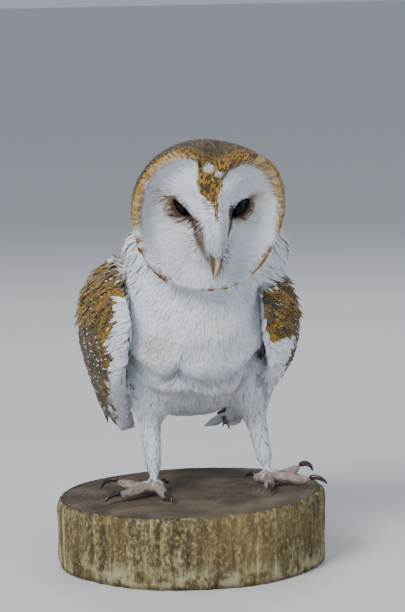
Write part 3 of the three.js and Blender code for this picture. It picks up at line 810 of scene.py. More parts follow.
def wing_markings(points, normals, side):
    """White down the front edge with a gold rim, then gold, then grey and buff, and white within."""
    share, across, _ = wing_place(points)
    wobble = rough(points, 8.0, 3, 13.0 + side)
    fleck = rough(points, 2.0, 2, 17.0)
    edge = across + 0.16 * wobble
    along = share + 0.03 * wobble
    if side < 0:
        gold = smoothstep(-along, -0.17, -0.10) * smoothstep(edge, -0.80, -0.6)
        gold = gold * (1 - 0.4 * smoothstep(edge, 0.3, 0.6))
    else:
        gold = smoothstep(wobble, -0.15, 0.2) * smoothstep(-along, -0.3, -0.15)
    buff = smoothstep(rough(points, 11.0, 2, 23.0), -0.25, 0.4) * np.where(along < 0.35, 0.55, 0.75)
    veil = mixed(mixed(ASH, UMBER, WING_DARKNESS_AND_SHADE[side]), BUFF, buff)
    tint = mixed(veil, GOLD, np.maximum(gold, 0.35 * smoothstep(rough(points, 7.0, 2, 27.0), 0.0, 0.4)))
    tint = mixed(tint, UMBER * 0.8, smoothstep(fleck, 0.16, 0.4) * 0.5)
    past_front = (np.interp(edge, *WHITE_FRONT[side]) - along) * 190
    inside = np.maximum(past_front, (np.interp(along, *WHITE_BORDER[side]) - edge) * 40)
    rim = bell(inside, -2.6, 1.7) * smoothstep(-edge, 0.30, 0.5)
    tint = mixed(tint, GOLD * 1.1, rim)
    white = smoothstep(inside, -1.0, 1.0)
    tint = mixed(tint, mixed(SNOW, UMBER, smoothstep(fleck, 0.42, 0.5) * 0.22), white)
    inner = smoothstep(-side * normals[:, 0], 0.15, 0.45) * smoothstep(-across, -0.7, -0.35)
    inner = np.maximum(inner, smoothstep(-normals[:, 1], 0.45, 0.7) * smoothstep(along, 0.2, 0.27))
    tint = mixed(tint, SNOW * 0.95, inner)
    return tint, (1 - white) * (1 - inner) * (1 - rim) * 0.9


def body_markings(points, normals, neck):
    """White in front, warmed and stained in places and painted greyer in its creases as shade, and gold and
    buff behind.
    """
    x, y, z = upright(points).T
    back = normals[:, 1] * 0.70 + normals[:, 2] * 0.55 + 0.10 * rough(points, 9.0, 2, 5.0)
    back = smoothstep(back + neck * 0.26, 0.20, 0.42) * smoothstep(y + neck * 10, -22, -8)
    back = back * ((y > 10) | (z > 145))
    veil = mixed(GOLD, BUFF, smoothstep(rough(points, 9.0, 2, 37.0), -0.3, 0.3))
    veil = mixed(veil, UMBER, smoothstep(rough(points, 2.2, 2, 19.0), 0.2, 0.4) * 0.4)
    tint = mixed(SNOW, WARM_WHITE, smoothstep(rough(points, 17.0, 2, 31.0), 0.18, 0.55) * 0.28)
    stain = np.exp(-(((x + 26) / 8) ** 2) - ((z - 137) / 9) ** 2) * (y < -20)
    # Painted shade: the breast is darkened along its creases.
    tint = mixed(tint, STAIN_BUFF, 0.5 * stain) * (1 - 0.36 * breast_creases(points)[:, None])
    return mixed(tint, veil, back), back


def markings(points, normals, owner):
    """The plumage's colour at each place on the coat, with painted shade near the creases between the wings
    and the body, and how strongly its feathers are spotted.
    """
    tint, spot = body_markings(points, normals, belongs(owner, "neck").astype(float))
    picks = belongs(owner, "head")
    if picks.any():
        tint[picks], spot[picks] = head_markings(points[picks])
    for side, name in ((-1, "wing_right"), (1, "wing_left")):
        picks = belongs(owner, name)
        if picks.any():
            tint[picks], spot[picks] = wing_markings(points[picks], normals[picks], side)
    for colour, names in (
        (SNOW, ("thigh_right", "thigh_left", "shank_right", "shank_left")),
        (TOE_PINK, ("foot_right", "foot_left")),
    ):
        tint[belongs(owner, *names)] = colour
        spot[belongs(owner, *names)] = 0
    # Painted shade: darker near the creases where the wings meet the body.
    crease = 1 - smoothstep(np.array([crease_tree.find(point)[2] for point in points]), 0.5, 3.4)
    return tint * (1 - 0.5 * crease[:, None]), spot


def paint(obj, tint, alpha):
    layer = obj.data.color_attributes.new("Tint", "FLOAT_COLOR", "POINT")
    layer.data.foreach_set("color", np.concatenate([tint, alpha[:, None]], 1).astype(np.float32).ravel())


coat_points = coordinates(form) / MM
coat_normals = vertex_normals(form)
coat_owner = owner_of(coat_points)
# Points along the creases between the wings and the body, near which markings paints shade.
on_wing = belongs(coat_owner, "wing_right", "wing_left")
creases = coat_points[edges[on_wing[edges].sum(1) == 1]].mean(1)
creases = creases[(creases[:, 1] < 8) & (creases[:, 2] < 176)]
crease_tree = KDTree(len(creases))
for index, crease in enumerate(creases):
    crease_tree.insert(crease, index)
crease_tree.balance()
depth = np.array([COAT_DEPTH[node] for node in FLESH])[coat_owner][:, None]
depth = relaxed(depth, np.full(len(depth), 0.7), 8)[:, 0]
head = to_head(coat_points)
eye_gap = np.hypot(np.abs(head[:, 0]) - EYE_AT[0], head[:, 2] - EYE_AT[2])
near_eye = belongs(coat_owner, "head") & (eye_gap < 12.5) & (head[:, 1] < 16)
depth = np.where(near_eye, 1.1, depth)
at_rim = belongs(coat_owner, "head") & (head[:, 1] < 24)
rim_share = disc_share(head[:, 0], head[:, 2])
depth -= at_rim * 1.25 * smoothstep(rim_share, 0.84, 0.92) * smoothstep(-rim_share, -1.12, -1.04)
depth = np.where(at_rim & ~facing & (rim_share > 0.78) & (rim_share < 1.04) & (head[:, 2] < 6), 0.05, depth)

skin = form.copy()
skin.data = form.data.copy()
skin.name = "skin"
bpy.context.collection.objects.link(skin)
take_up(skin)
put_coordinates(skin, (coat_points - coat_normals * depth[:, None]) * MM)
bpy.context.tool_settings.mesh_select_mode = (False, False, True)
on_feet = belongs(coat_owner, "foot_right", "foot_left")
for choice, cuts in ((near_eye & (eye_gap < 10.6), 3), (on_feet, 1)):
    flags = np.zeros(len(skin.data.vertices), dtype=bool)
    flags[:len(choice)] = choice
    faces = [all(flags[v] for v in face.vertices) for face in skin.data.polygons]
    bpy.ops.object.mode_set(mode="EDIT")
    bpy.ops.mesh.select_all(action="DESELECT")
    bpy.ops.object.mode_set(mode="OBJECT")
    skin.data.polygons.foreach_set("select", faces)
    bpy.ops.object.mode_set(mode="EDIT")
    bpy.ops.mesh.subdivide(number_cuts=cuts, smoothness=0)
    bpy.ops.object.mode_set(mode="OBJECT")

# The lids close over each glass eye to a slanting slit, with a raised rim along its edge.
points = coordinates(skin) / MM
head = to_head(points)
ball, eye_gap = ball_front(head[:, 0], head[:, 2])
along, across, half = lid_place(head[:, 0], head[:, 2])
at_eye = (eye_gap < EYE_RADIUS - 0.2) & (head[:, 1] < EYE_AT[1])
open_lid = at_eye & (np.abs(across) < half)
rim_lift = 0.5 * bell(np.abs(across) - half, 0.3, 0.7) * (np.abs(along) < LID_LENGTH + 1)
lid = EYE_AT[1] - np.sqrt(np.clip((EYE_RADIUS + 0.55) ** 2 - eye_gap**2, 0, None)) - rim_lift
head[:, 1] = np.where(at_eye, np.minimum(head[:, 1], lid), head[:, 1])
head[:, 1] = np.where(open_lid, ball + 1.4, head[:, 1])
points = np.where(at_eye[:, None], from_head(head), points)
put_coordinates(skin, points * MM)
skin.data.shade_smooth()
skin_owner = owner_of(points)
skin_tint, skin_spot = markings(points, vertex_normals(skin), skin_owner)
rim_brown = np.where(at_eye, smoothstep(-np.abs(np.abs(across) - half), -1.4, -0.5), 0)
skin_tint = mixed(skin_tint, LID_BROWN, rim_brown)
skin_tint = mixed(skin_tint, LID_BROWN, open_lid.astype(float))
paint(skin, skin_tint, skin_spot)


def dry_skin():
    hide = Nodes("dry skin and down")
    tint = hide.add("Attribute", {"attribute_name": "Tint"}).outputs["Color"]
    down = hide.noise(hide.place((1, 1, 0.4)), 1400, 3)
    colour = hide.mix(hide.between(down, 0.4, 0.7, 0, 0.35), tint, (0.20, 0.19, 0.18))
    hide.bump(down, 0.5, 0.0005)
    return hide.set(Base_Color=colour, Roughness=0.9, Specular_IOR_Level=0.2)


def scaly_toe():
    toe = Nodes("scaly toe")
    place = toe.place()
    edges = toe.add("TexVoronoi", {"feature": "DISTANCE_TO_EDGE"}, Vector=place, Scale=720.0)
    scale = edges.outputs["Distance"]
    blotch = toe.noise(place, 160, 4)
    colour = toe.ramp(blotch, [
        (0.35, (0.25, 0.175, 0.155)), (0.5, (0.40, 0.30, 0.26)), (0.68, (0.52, 0.43, 0.38)),
    ])
    colour = toe.mix(toe.between(scale, 0.0, 0.10, 0.65, 0), colour, (0.15, 0.09, 0.075))
    toe.bump(toe.between(scale, 0.0, 0.16), 0.75, 0.0005)
    return toe.set(Base_Color=colour, Roughness=0.62, Specular_IOR_Level=0.4)


skin.data.materials.clear()
skin.data.materials.append(dry_skin())
skin.data.materials.append(scaly_toe())
centres = np.empty(len(skin.data.polygons) * 3)
skin.data.polygons.foreach_get("center", centres)
feet = belongs(owner_of(centres.reshape(-1, 3) / MM), "foot_right", "foot_left")
skin.data.polygons.foreach_set("material_index", feet.astype(np.int32))
skin.data.update()
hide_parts(*FLESH)
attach(skin, "root")

# ---------- the glass eyes ----------
# Two dark glass balls set in the face behind the lids. They are nearly black, with a faint brown iris
# and a slight bulge in front, as a real eye has.

for name, side in (("eye_right", -1), ("eye_left", 1)):
    bpy.ops.object.select_all(action="DESELECT")
    middle = from_head(EYE_AT * [side, 1, 1]) * MM
    gaze = Matrix(HEAD_TURN.tolist()).to_4x4() @ Matrix.Rotation(math.radians(90), 4, "X")
    bpy.ops.mesh.primitive_uv_sphere_add(segments=48, ring_count=32, radius=EYE_RADIUS * MM)
    glass = bpy.context.object
    glass.name = name.replace("eye", "glass_eye")
    cornea = coordinates(glass) / MM
    cornea[:, 2] += 0.7 * smoothstep(-np.hypot(cornea[:, 0], cornea[:, 1]), -5.5, -1.5) * (cornea[:, 2] > 0)
    put_coordinates(glass, cornea * MM)
    glass.data.transform(Matrix.Translation(middle) @ gaze)
    glass.data.shade_smooth()
    ball = Nodes(name.replace("eye", "dark glass"))
    away = ball.add("VectorMath", {"operation": "DISTANCE"}, Vector=ball.place())
    away.inputs[1].default_value = tuple(from_head(EYE_AT * [side, 1, 1] - [0, EYE_RADIUS, 0]) * MM)
    iris = ball.ramp(away.outputs["Value"], [
        (0.0, (0.003, 0.003, 0.003)), (0.0046, (0.004, 0.003, 0.003)), (0.0056, (0.020, 0.010, 0.005)),
        (0.0080, (0.010, 0.006, 0.004)),
    ])
    glass.data.materials.append(
        ball.set(Base_Color=iris, Roughness=0.07, IOR=1.20, Coat_Weight=0.04, Coat_Roughness=0.03)
    )
    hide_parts(name)
    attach(glass, "root")

# ---------- the beak ----------
# Two halves of horn, hooked above and half hidden by the bristles at its root. The horn is pale, painted
# dark along the sides as shade, and finely lined towards the tip.

HORN_PALE = np.array([0.50, 0.39, 0.20])
HORN_TIP = np.array([0.28, 0.19, 0.09])
HORN_SIDE_SHADE = np.array([0.050, 0.026, 0.012])
LOWER_HALF_NESTED = [0, -3.8, 0.5]


def pale_horn():
    horn = Nodes("pale horn")
    tint = horn.add("Attribute", {"attribute_name": "Tint"}).outputs["Color"]
    lines = horn.noise(horn.place((1, 1, 0.15)), 900, 3)
    colour = horn.mix(horn.between(lines, 0.45, 0.7, 0, 0.25), tint, (0.20, 0.14, 0.08))
    horn.bump(lines, 0.3, 0.0002)
    return horn.set(Base_Color=colour, Roughness=0.36, Specular_IOR_Level=0.5, Coat_Weight=0.15)


horn_finish = pale_horn()
for node in ("bill_upper", "bill_lower"):
    half_beak = merged_copy(node)
    half_beak.name = node.replace("bill", "beak")
    horn = to_head(coordinates(half_beak) / MM)
    horn[:, 0] *= 1 + 0.18 * smoothstep(horn[:, 2], -31, -22)
    if node == "bill_lower":
        horn += LOWER_HALF_NESTED
    put_coordinates(half_beak, from_head(horn) * MM)
    modify(half_beak, "SUBSURF", levels=2, render_levels=2)
    x, _, z = to_head(coordinates(half_beak) / MM).T
    stripe = np.interp(z, (-32, -30, -24, -15), (0.5, 0.7, 1.25, 1.6))
    horn_tint = mixed(HORN_PALE, HORN_TIP, smoothstep(-z, 27, 32))
    # Painted shade: the horn darkens towards both sides, leaving a pale stripe down the top.
    horn_tint = mixed(horn_tint, HORN_SIDE_SHADE, smoothstep(np.abs(x) / stripe, 0.6, 1.2) * 0.94)
    paint(half_beak, horn_tint, np.zeros(len(x)))
    half_beak.data.shade_smooth()
    half_beak.data.materials.clear()
    half_beak.data.materials.append(horn_finish)
    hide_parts(node)
    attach(half_beak, "root")

# ---------- the claws ----------
# Eight black horn claws, curved and needle sharp, each let into the end of its toe. The root of each is
# drawn back a little deeper into the toe, so that no gap shows.

CLAW_DRAWN_BACK = 1.16


def black_claw():
    claw = Nodes("black claw")
    lines = claw.noise(claw.place(), 1300, 3)
    colour = claw.ramp(lines, [(0.3, (0.010, 0.009, 0.010)), (0.7, (0.045, 0.040, 0.042))])
    claw.bump(lines, 0.25, 0.0002)
    return claw.set(Base_Color=colour, Roughness=0.30, Specular_IOR_Level=0.5)


claw_finish = black_claw()
for node in sorted(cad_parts):
    if node.startswith("claw"):
        claw = merged_copy(node)
        claw.name = node.replace("claw", "talon")
        modify(claw, "SUBSURF", levels=2, render_levels=2)
        low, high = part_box(node.replace("claw", "foot").rsplit("_", 1)[0])
        heel = np.array([(low.x + high.x) / 2, (low.y + high.y) / 2])
        horn = coordinates(claw)
        outwards = horn[:, :2] - heel
        reach = np.linalg.norm(outwards, axis=1, keepdims=True)
        horn[:, :2] = heel + outwards * (reach.max() - (reach.max() - reach) * CLAW_DRAWN_BACK) / reach
        put_coordinates(claw, horn)
        claw.data.shade_smooth()
        claw.data.materials.clear()
        claw.data.materials.append(claw_finish)
        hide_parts(node)
        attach(claw, "root")

# ---------- the coat on the legs ----------
# Short white velvet feathers run down each leg to the toes. Like every feather on the bird they are thin
# closed blades, rooted in the skin and laid along it, each a little cupped and lifted at its tip.

form.data.calc_loop_triangles()
form_triangles = np.empty(len(form.data.loop_triangles) * 3, dtype=int)
form.data.loop_triangles.foreach_get("vertices", form_triangles)
form_triangles = form_triangles.reshape(-1, 3)
form_loops = np.empty(len(form_triangles) * 3, dtype=int)
form.data.loop_triangles.foreach_get("loops", form_loops)
form_uv = np.empty(len(form.data.loops) * 2)
form.data.uv_layers["OFBake"].data.foreach_get("uv", form_uv)
form_uv = form_uv.reshape(-1, 2)[form_loops].reshape(-1, 3, 2)
form_areas = 0.5 * np.linalg.norm(np.cross(
    coat_points[form_triangles[:, 1]] - coat_points[form_triangles[:, 0]],
    coat_points[form_triangles[:, 2]] - coat_points[form_triangles[:, 0]],
), axis=1)
triangle_middle = coat_points[form_triangles].mean(1)
x_at, y_at, z_at = triangle_middle.T
triangle_normal = normalised(coat_normals[form_triangles].mean(1))
triangle_owner = coat_owner[form_triangles[:, 0]]
coat_tree = BVHTree.FromPolygons(coat_points.tolist(), form_triangles.tolist())
TUFT_PATCH = 0.003


def scattered(chosen, spacing, seed):
    """Feather roots spread evenly, `spacing` mm apart, over the triangles of the coat's surface chosen."""
    rng = np.random.default_rng(seed)
    picks = np.flatnonzero(chosen)
    total = form_areas[picks].sum()
    tries = int(3.2 * total / spacing**2) + 8
    triangle = rng.choice(picks, tries, p=form_areas[picks] / total)
    a, b = rng.random(tries), rng.random(tries)
    flip = a + b > 1
    a, b = np.where(flip, 1 - a, a), np.where(flip, 1 - b, b)
    weights = np.stack([1 - a - b, a, b], 1)
    places = (coat_points[form_triangles[triangle]] * weights[:, :, None]).sum(1)
    homes = np.floor(places / spacing).astype(int).tolist()
    cells = {}
    kept = []
    for index, (place, cell) in enumerate(zip(places.tolist(), homes)):
        too_near = [
            other
            for i in (-1, 0, 1) for j in (-1, 0, 1) for k in (-1, 0, 1)
            for other in cells.get((cell[0] + i, cell[1] + j, cell[2] + k), ())
            if math.dist(other, place) < spacing
        ]
        if not too_near:
            cells.setdefault(tuple(cell), []).append(place)
            kept.append(index)
    return roots_at(triangle[kept], weights[kept])


def roots_at(triangle, weights):
    corners = form_triangles[triangle]
    return {
        "place": (coat_points[corners] * weights[:, :, None]).sum(1),
        "normal": normalised((coat_normals[corners] * weights[:, :, None]).sum(1)),
        "owner": coat_owner[corners[:, 0]],
        "patch": (form_uv[triangle] * weights[:, :, None]).sum(1),
    }


def on_coat(places):
    """The nearest place on the coat's surface, its smooth normal and its triangle, for each place given."""
    hits = [coat_tree.find_nearest(Vector(place)) for place in places]
    where = np.array([hit[0] for hit in hits])
    triangle = np.array([hit[2] for hit in hits])
    spokes = [coat_points[form_triangles[triangle, i]] - where for i in range(3)]
    areas = [np.linalg.norm(np.cross(spokes[i - 2], spokes[i - 1]), axis=1) + 1e-9 for i in range(3)]
    weights = np.stack(areas, 1) / sum(areas)[:, None]
    normal = normalised((coat_normals[form_triangles[triangle]] * weights[:, :, None]).sum(1))
    return where, normal, triangle, weights


def kept_roots(roots, keep):
    return {key: value[keep] for key, value in roots.items()}


def flattened(vectors, normals):
    return normalised(vectors - normals * (vectors * normals).sum(1, keepdims=True))


def traced(roots, lie, length, rings, sink, rise, cling, ruffle, free_from, rng):
    """Middles, normals and headings of each feather, from its sunk root along the surface to its tip."""
    count = len(roots["place"])
    rise = rise * (1 + 0.9 * rng.uniform(-1, 1, count))
    normal = roots["normal"]
    heading = flattened(lie(roots["place"], normal), normal)
    heading = normalised(heading + np.cross(normal, heading) * (ruffle * rng.normal(0, 1, count))[:, None])
    sink = np.broadcast_to(sink, count)
    middles = [roots["place"] - normal * sink[:, None]]
    normals, headings = [normal], [heading]
    for step in range(1, rings + 1):
        share = step / rings
        ahead = middles[-1] + heading * (length / rings)[:, None]
        where, normal, _, _ = on_coat(ahead)
        past = ahead[:, 1] > free_from
        where = np.where(past[:, None], ahead, where)
        normal = np.where(past[:, None], normals[-1], normal)
        gap = ((ahead - where) * normal).sum(1)
        wanted = -sink * (1 - share) ** 1.6 + rise * share**2
        height = wanted + (1 - cling) * np.clip(gap - wanted, 0, None)
        middle = where + normal * np.where(past, -0.12 * length / rings * share, height)[:, None]
        moved = normalised(middle - middles[-1])
        heading = flattened(0.75 * moved + 0.25 * flattened(lie(where, normal), normal), normal)
        middles.append(middle)
        normals.append(normal)
        headings.append(moved)
    return middles, normals, headings


SHADED_AS_FORM = 0.6


def blades(middles, normals, headings, width, outline, fat):
    """Points, shading normals and places on the vane: three points to a ring, and one more at the tip."""
    count, rings = len(width), len(outline)
    points = np.empty((count, 3 * rings + 1, 3))
    shading = np.empty_like(points)
    vane = np.empty((count, 3 * rings + 1, 2))
    for ring in range(rings):
        side = normalised(np.cross(normals[ring], headings[ring]))
        up = normalised(np.cross(headings[ring], side))
        half = (0.5 * width * outline[ring])[:, None]
        for corner, (across, lift) in enumerate(((1, -0.10), (0, fat), (-1, -0.10))):
            at = 3 * ring + corner
            points[:, at] = middles[ring] + side * across * half + up * (lift * 2 * half)
            facet = up + 0.7 * across * side
            shading[:, at] = SHADED_AS_FORM * normals[ring] + (1 - SHADED_AS_FORM) * facet
            vane[:, at] = (0.5 + 0.5 * across, ring / rings)
    points[:, -1] = middles[-1]
    shading[:, -1] = normals[-1]
    vane[:, -1] = (0.5, 1.0)
    return points, shading, vane


def blade_faces(rings):
    """Three sides from ring to ring, a point at the tip and a lid at the root."""
    faces = []
    for here in range(0, 3 * rings - 3, 3):
        for one, other in ((0, 1), (1, 2), (2, 0)):
            faces.append((here + one, here + other, here + 3 + other, here + 3 + one))
    last = 3 * rings - 3
    faces += [(last, last + 1, last + 3), (last + 1, last + 2, last + 3), (last + 2, last, last + 3)]
    return faces + [(2, 1, 0)]


def lay_maps(thing, patches, vanes, loops):
    for layer_name, values in (("OFBake", patches), ("Vane", vanes)):
        layer = thing.data.uv_layers.new(name=layer_name)
        layer.data.foreach_set("uv", values.reshape(-1, 2)[loops].ravel())


def feathers(
    name, finish, roots, lie, length, width, outline, seed, slot="white_feathers", sink=1.4, rise=0.3,
    cling=0.75, fat=0.12, ruffle=0.12, spread=0.15, free_from=1000.0, tint=None, tip_tint=None, tip_from=0.5,
    spotted_share=0.22, own_ends=False,
):
    """Lays one closed blade from each root along the lie and joins them all into one piece of the coat.

    Roots come ready, or as the zone they are scattered over and their spacing. Feathers past `free_from`
    run on straight, clear of the body."""
    if isinstance(roots, tuple):
        roots = scattered(*roots, seed)
    rng = np.random.default_rng(seed)
    count = len(roots["place"])
    rings = len(outline)
    length = np.broadcast_to(length, count) * (1 + spread * rng.uniform(-1, 1, count))
    width = np.broadcast_to(width, count) * (1 + spread * rng.uniform(-1, 1, count))
    middles, normals, headings = traced(
        roots, lie, length, rings, sink, rise, cling, ruffle, free_from, rng,
    )
    points, shading, vane = blades(middles, normals, headings, width, outline, fat)
    size = points.shape[1]
    faces = blade_faces(rings)
    loops = (np.arange(count)[:, None] * size + [corner for face in faces for corner in face]).ravel()
    totals = np.tile([len(face) for face in faces], count)
    mesh = bpy.data.meshes.new(name)
    mesh.vertices.add(count * size)
    mesh.vertices.foreach_set("co", (points * MM).ravel())
    mesh.loops.add(len(loops))
    mesh.loops.foreach_set("vertex_index", loops)
    mesh.polygons.add(len(totals))
    mesh.polygons.foreach_set("loop_start", np.concatenate([[0], np.cumsum(totals)[:-1]]))
    mesh.polygons.foreach_set("loop_total", totals)
    mesh.update(calc_edges=True)
    coat = bpy.data.objects.new(name, mesh)
    bpy.context.collection.objects.link(coat)
    mesh.shade_smooth()
    lay_maps(coat, np.clip(roots["patch"][:, None, :] + TUFT_PATCH * (vane - 0.5), 0, 1), vane, loops)
    where, around, _, _ = on_coat(middles[max(1, rings // 2)])
    colour, spotted = markings(where, around, roots["owner"])
    if tint is not None:
        colour = tint(where, around, colour)
    spotted = spotted * (rng.random(count) < spotted_share)
    colour = colour * (1 + 0.10 * rng.uniform(-1, 1, (count, 1)))
    ends = colour if tip_tint is None else tip_tint(where, around, colour)
    if own_ends:
        colour, _ = markings(*on_coat(middles[0])[:2], roots["owner"])
        ends, _ = markings(*on_coat(middles[-1])[:2], roots["owner"])
    shares = np.append(np.repeat(np.arange(rings) / rings, 3), 1.0)[None, :, None]
    blend = smoothstep(shares, tip_from, min(tip_from + 0.3, 1.0))
    # Each feather is darker towards its root, as painted shade where it lies under the next.
    shades = (colour[:, None] * (1 - blend) + ends[:, None] * blend) * (0.80 + 0.20 * shares)
    paint(coat, shades.reshape(-1, 3), np.repeat(spotted, size))
    loop_shading = normalised(shading.reshape(-1, 3))[loops]
    facets = np.empty(len(totals) * 3)
    mesh.polygons.foreach_get("normal", facets)
    facets = np.repeat(facets.reshape(-1, 3), totals, axis=0)
    under = (loop_shading * facets).sum(1) < 0
    mesh.normals_split_custom_set(np.where(under[:, None], -loop_shading, loop_shading).tolist())
    mesh.materials.append(finish)
    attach(coat, "root")


def owned(*names):
    return belongs(triangle_owner, *names)


def plume_finish(name, spots=0.0, barbs=26.0, sheen=0.15, speckle=0.0, spot_size=(6.4, 4.6), pale_edge=0.16):
    """Feather: the plumage's own colour, paler edges, fine slanting barbs, and drops near the tip."""
    plume = Nodes(name)
    tint = plume.add("Attribute", {"attribute_name": "Tint"})
    split = plume.add("SeparateXYZ", Vector=plume.add("UVMap", {"uv_map": "Vane"}).outputs["UV"])
    across = plume.maths("ABSOLUTE", plume.maths("SUBTRACT", split.outputs["X"], 0.5))
    along = split.outputs["Y"]
    slant = plume.plus(along, plume.times(across, -0.7))
    barb = plume.maths("SINE", plume.times(slant, barbs * 6.283))
    colour = tint.outputs["Color"]
    mottle = plume.noise(plume.place(), 800, 3)
    if speckle:
        fine = plume.noise(plume.place(), 1250, 3)
        blue = plume.add("SeparateColor", Color=tint.outputs["Color"]).outputs["Blue"]
        black = plume.between(blue, 0.15, 0.45, speckle, speckle * 0.07)
        yellow = plume.between(blue, 0.15, 0.45, speckle * 0.45, 0)
        colour = plume.mix(plume.between(fine, 0.47, 0.56, 0, black), colour, (0.034, 0.025, 0.016))
        colour = plume.mix(plume.between(fine, 0.44, 0.36, 0, yellow), colour, (0.40, 0.28, 0.10))
    colour = plume.mix(plume.between(mottle, 0.3, 0.7, 0, 0.18), colour, (0.30, 0.30, 0.31), "MULTIPLY")
    if spots:
        offset = plume.maths("SUBTRACT", along, 0.74)
        away = plume.plus(plume.maths("POWER", plume.times(offset, spot_size[0]), 2.0),
                         plume.maths("POWER", plume.times(across, spot_size[1]), 2.0))
        strength = plume.times(tint.outputs["Alpha"], spots)
        dark = plume.times(plume.between(away, 1.5, 0.9), strength)
        colour = plume.mix(dark, colour, (0.018, 0.013, 0.010))
        pale = plume.times(plume.between(away, 0.62, 0.40), strength)
        colour = plume.mix(pale, colour, (0.74, 0.73, 0.68))
    edge = plume.between(across, 0.30, 0.5, 0.0, pale_edge)
    colour = plume.mix(edge, colour, (0.88, 0.89, 0.90))
    plume.bump(barb, 0.30, 0.00015)
    return plume.set(
        Base_Color=colour, Roughness=0.80, Specular_IOR_Level=0.22, Sheen_Weight=sheen, Sheen_Roughness=0.5,
    )


SOFT_VANE = (0.45, 0.95, 1.0, 0.70)
TUFT_VANE = (0.6, 1.0, 0.62)
ROUND_VANE = (0.40, 0.90, 1.0, 0.97, 0.72)
down_plume = plume_finish("white down", barbs=16)


def leg_lie(places, normals):
    return np.tile([0.0, 0.12, -1.0], (len(places), 1))


legs = owned("shank_right", "shank_left", "thigh_right", "thigh_left") & (z_at > 50)
feathers("coat_legs", down_plume, (legs, 1.15), leg_lie, 6.5, 1.7, TUFT_VANE, 11, sink=0.8, rise=0.35,
         ruffle=0.16)

# ---------- the coat on the belly and the breast ----------
# Long soft white feathers lie down the breast and back under the belly, deep enough that each shows
# only its tip. They follow the folds of the skin.

BODY_LIE = np.array([0.0, 0.74, -0.67])
BACKWARDS = np.array([0, 0.70, 0.55])
BREAST_FROM_Z = 117


def body_lie(places, normals):
    return BODY_LIE + places * [0.004, 0, 0]


trunk_front = (triangle_normal @ BACKWARDS < 0.30) & owned("trunk")
breast_zone = trunk_front & (z_at > BREAST_FROM_Z)
belly_zone = trunk_front & (z_at <= BREAST_FROM_Z)
feathers("coat_belly", down_plume, (belly_zone, 1.15), body_lie, 12.0, 2.3, SOFT_VANE, 21, sink=2.0, rise=0.5,
         ruffle=0.13)
feathers("coat_breast", down_plume, (breast_zone, 1.05), body_lie, 11.0, 2.0, SOFT_VANE, 22, sink=1.8,
         rise=0.3, ruffle=0.10)

# ---------- the coat on the back ----------
# The mantle and rump: rounded gold feathers veiled with grey, some with a white drop edged in black. They
# lap over one another down the back to the root of the tail, and down hangs below it.

gold_plume = plume_finish(
    "gold and grey plume", spots=0.9, barbs=18, speckle=0.85, pale_edge=0.02, sheen=0.04,
)
covert_plume = plume_finish(
    "covert plume", spots=0.9, barbs=30, speckle=0.55, spot_size=(10.5, 5.8), pale_edge=0.03, sheen=0.05,
)


def veiled(where, around, colour):
    """The grey veil over the tips of gold feathers, heavier in some places than in others."""
    veil = 0.35 + 0.45 * smoothstep(rough(where, 12.0, 2, 51.0), -0.3, 0.3)
    veil *= smoothstep(-colour[:, 2], -0.45, -0.25)
    grey = mixed(ASH, UMBER, 0.5 + rough(where, 3.0, 1, 57.0))
    return mixed(colour, grey, veil)


GOLD_COAT = {"slot": "gold_feathers", "tip_tint": veiled, "tip_from": 0.3}
back_zone = owned("trunk") & ~trunk_front
feathers("coat_back", covert_plume, (back_zone, 2.8), body_lie, 16.0, 7.0, ROUND_VANE, 31, sink=2.4, rise=0.7,
         ruffle=0.10, **GOLD_COAT)
rump_zone = owned("tail") & (y_at < 100)
rump_top = rump_zone & (triangle_normal[:, 2] > 0.1)
feathers("coat_rump", covert_plume, (rump_top, 3.0), body_lie, 20.0, 8.0, ROUND_VANE, 32, sink=1.0, rise=0.9,
         ruffle=0.08, free_from=98, **GOLD_COAT)
feathers("coat_vent", down_plume, (rump_zone & ~rump_top, 2.2), body_lie, 16.0, 4.0, SOFT_VANE, 33, sink=1.0,
         rise=0.6, ruffle=0.12, free_from=98)

# The scapulars: long shoulder feathers that lie from the back over the top edge of each wing.


def scapular_lie(places, normals):
    side = np.where(upright(places)[:, 0] < 0, -1.0, 1.0)
    return body_lie(places, normals) + np.stack([0.55 * side, 0 * side, 0.12 + 0 * side], 1)


triangle_upright = upright(triangle_middle)
shoulder = owned("trunk") & (np.abs(triangle_upright[:, 0]) > 19) & (y_at > -24) & (y_at < 84)
shoulder &= (triangle_normal[:, 2] > 0.15) & (z_at > 95)
feathers("coat_shoulders", covert_plume, (shoulder, 2.8), scapular_lie, 21.0, 8.0, ROUND_VANE, 34, sink=1.8,
         rise=1.4, cling=0.12, ruffle=0.10, free_from=98, **GOLD_COAT)

# ---------- the coat on the neck ----------
# White in front and at the sides, loose and full where it meets the shoulders, and gold at the nape. The
# feathers run down from the head and lap over the first rows of the breast and the back.


def neck_lie(places, normals):
    away = normalised(places - (HEAD_AT + [0, 20, 0]))
    return 0.6 * away + BODY_LIE * 0.8


nape = (triangle_normal @ BACKWARDS > -0.04) & (y_at > -30)
feathers("coat_neck", down_plume, (owned("neck") & ~nape, 1.15), neck_lie, 10.5, 2.1, SOFT_VANE, 41, sink=1.8,
         rise=0.4, ruffle=0.14)
feathers("coat_nape", gold_plume, (owned("neck") & nape, 1.8), neck_lie, 10.0, 4.2, SOFT_VANE, 42, sink=1.6,
         rise=0.5, ruffle=0.13, **GOLD_COAT)

# Loose long feathers stand off the shoulders, white next to the neck and gold over the top of the wing.


def shaggy_lie(places, normals):
    side = np.where(upright(places)[:, 0] < 0, -1.0, 1.0)
    return np.stack([0.75 * side, 0.10 + 0 * side, -0.62 + 0 * side], 1)


def snowy(where, around, colour):
    return mixed(colour, SNOW * 0.95, 0.92)


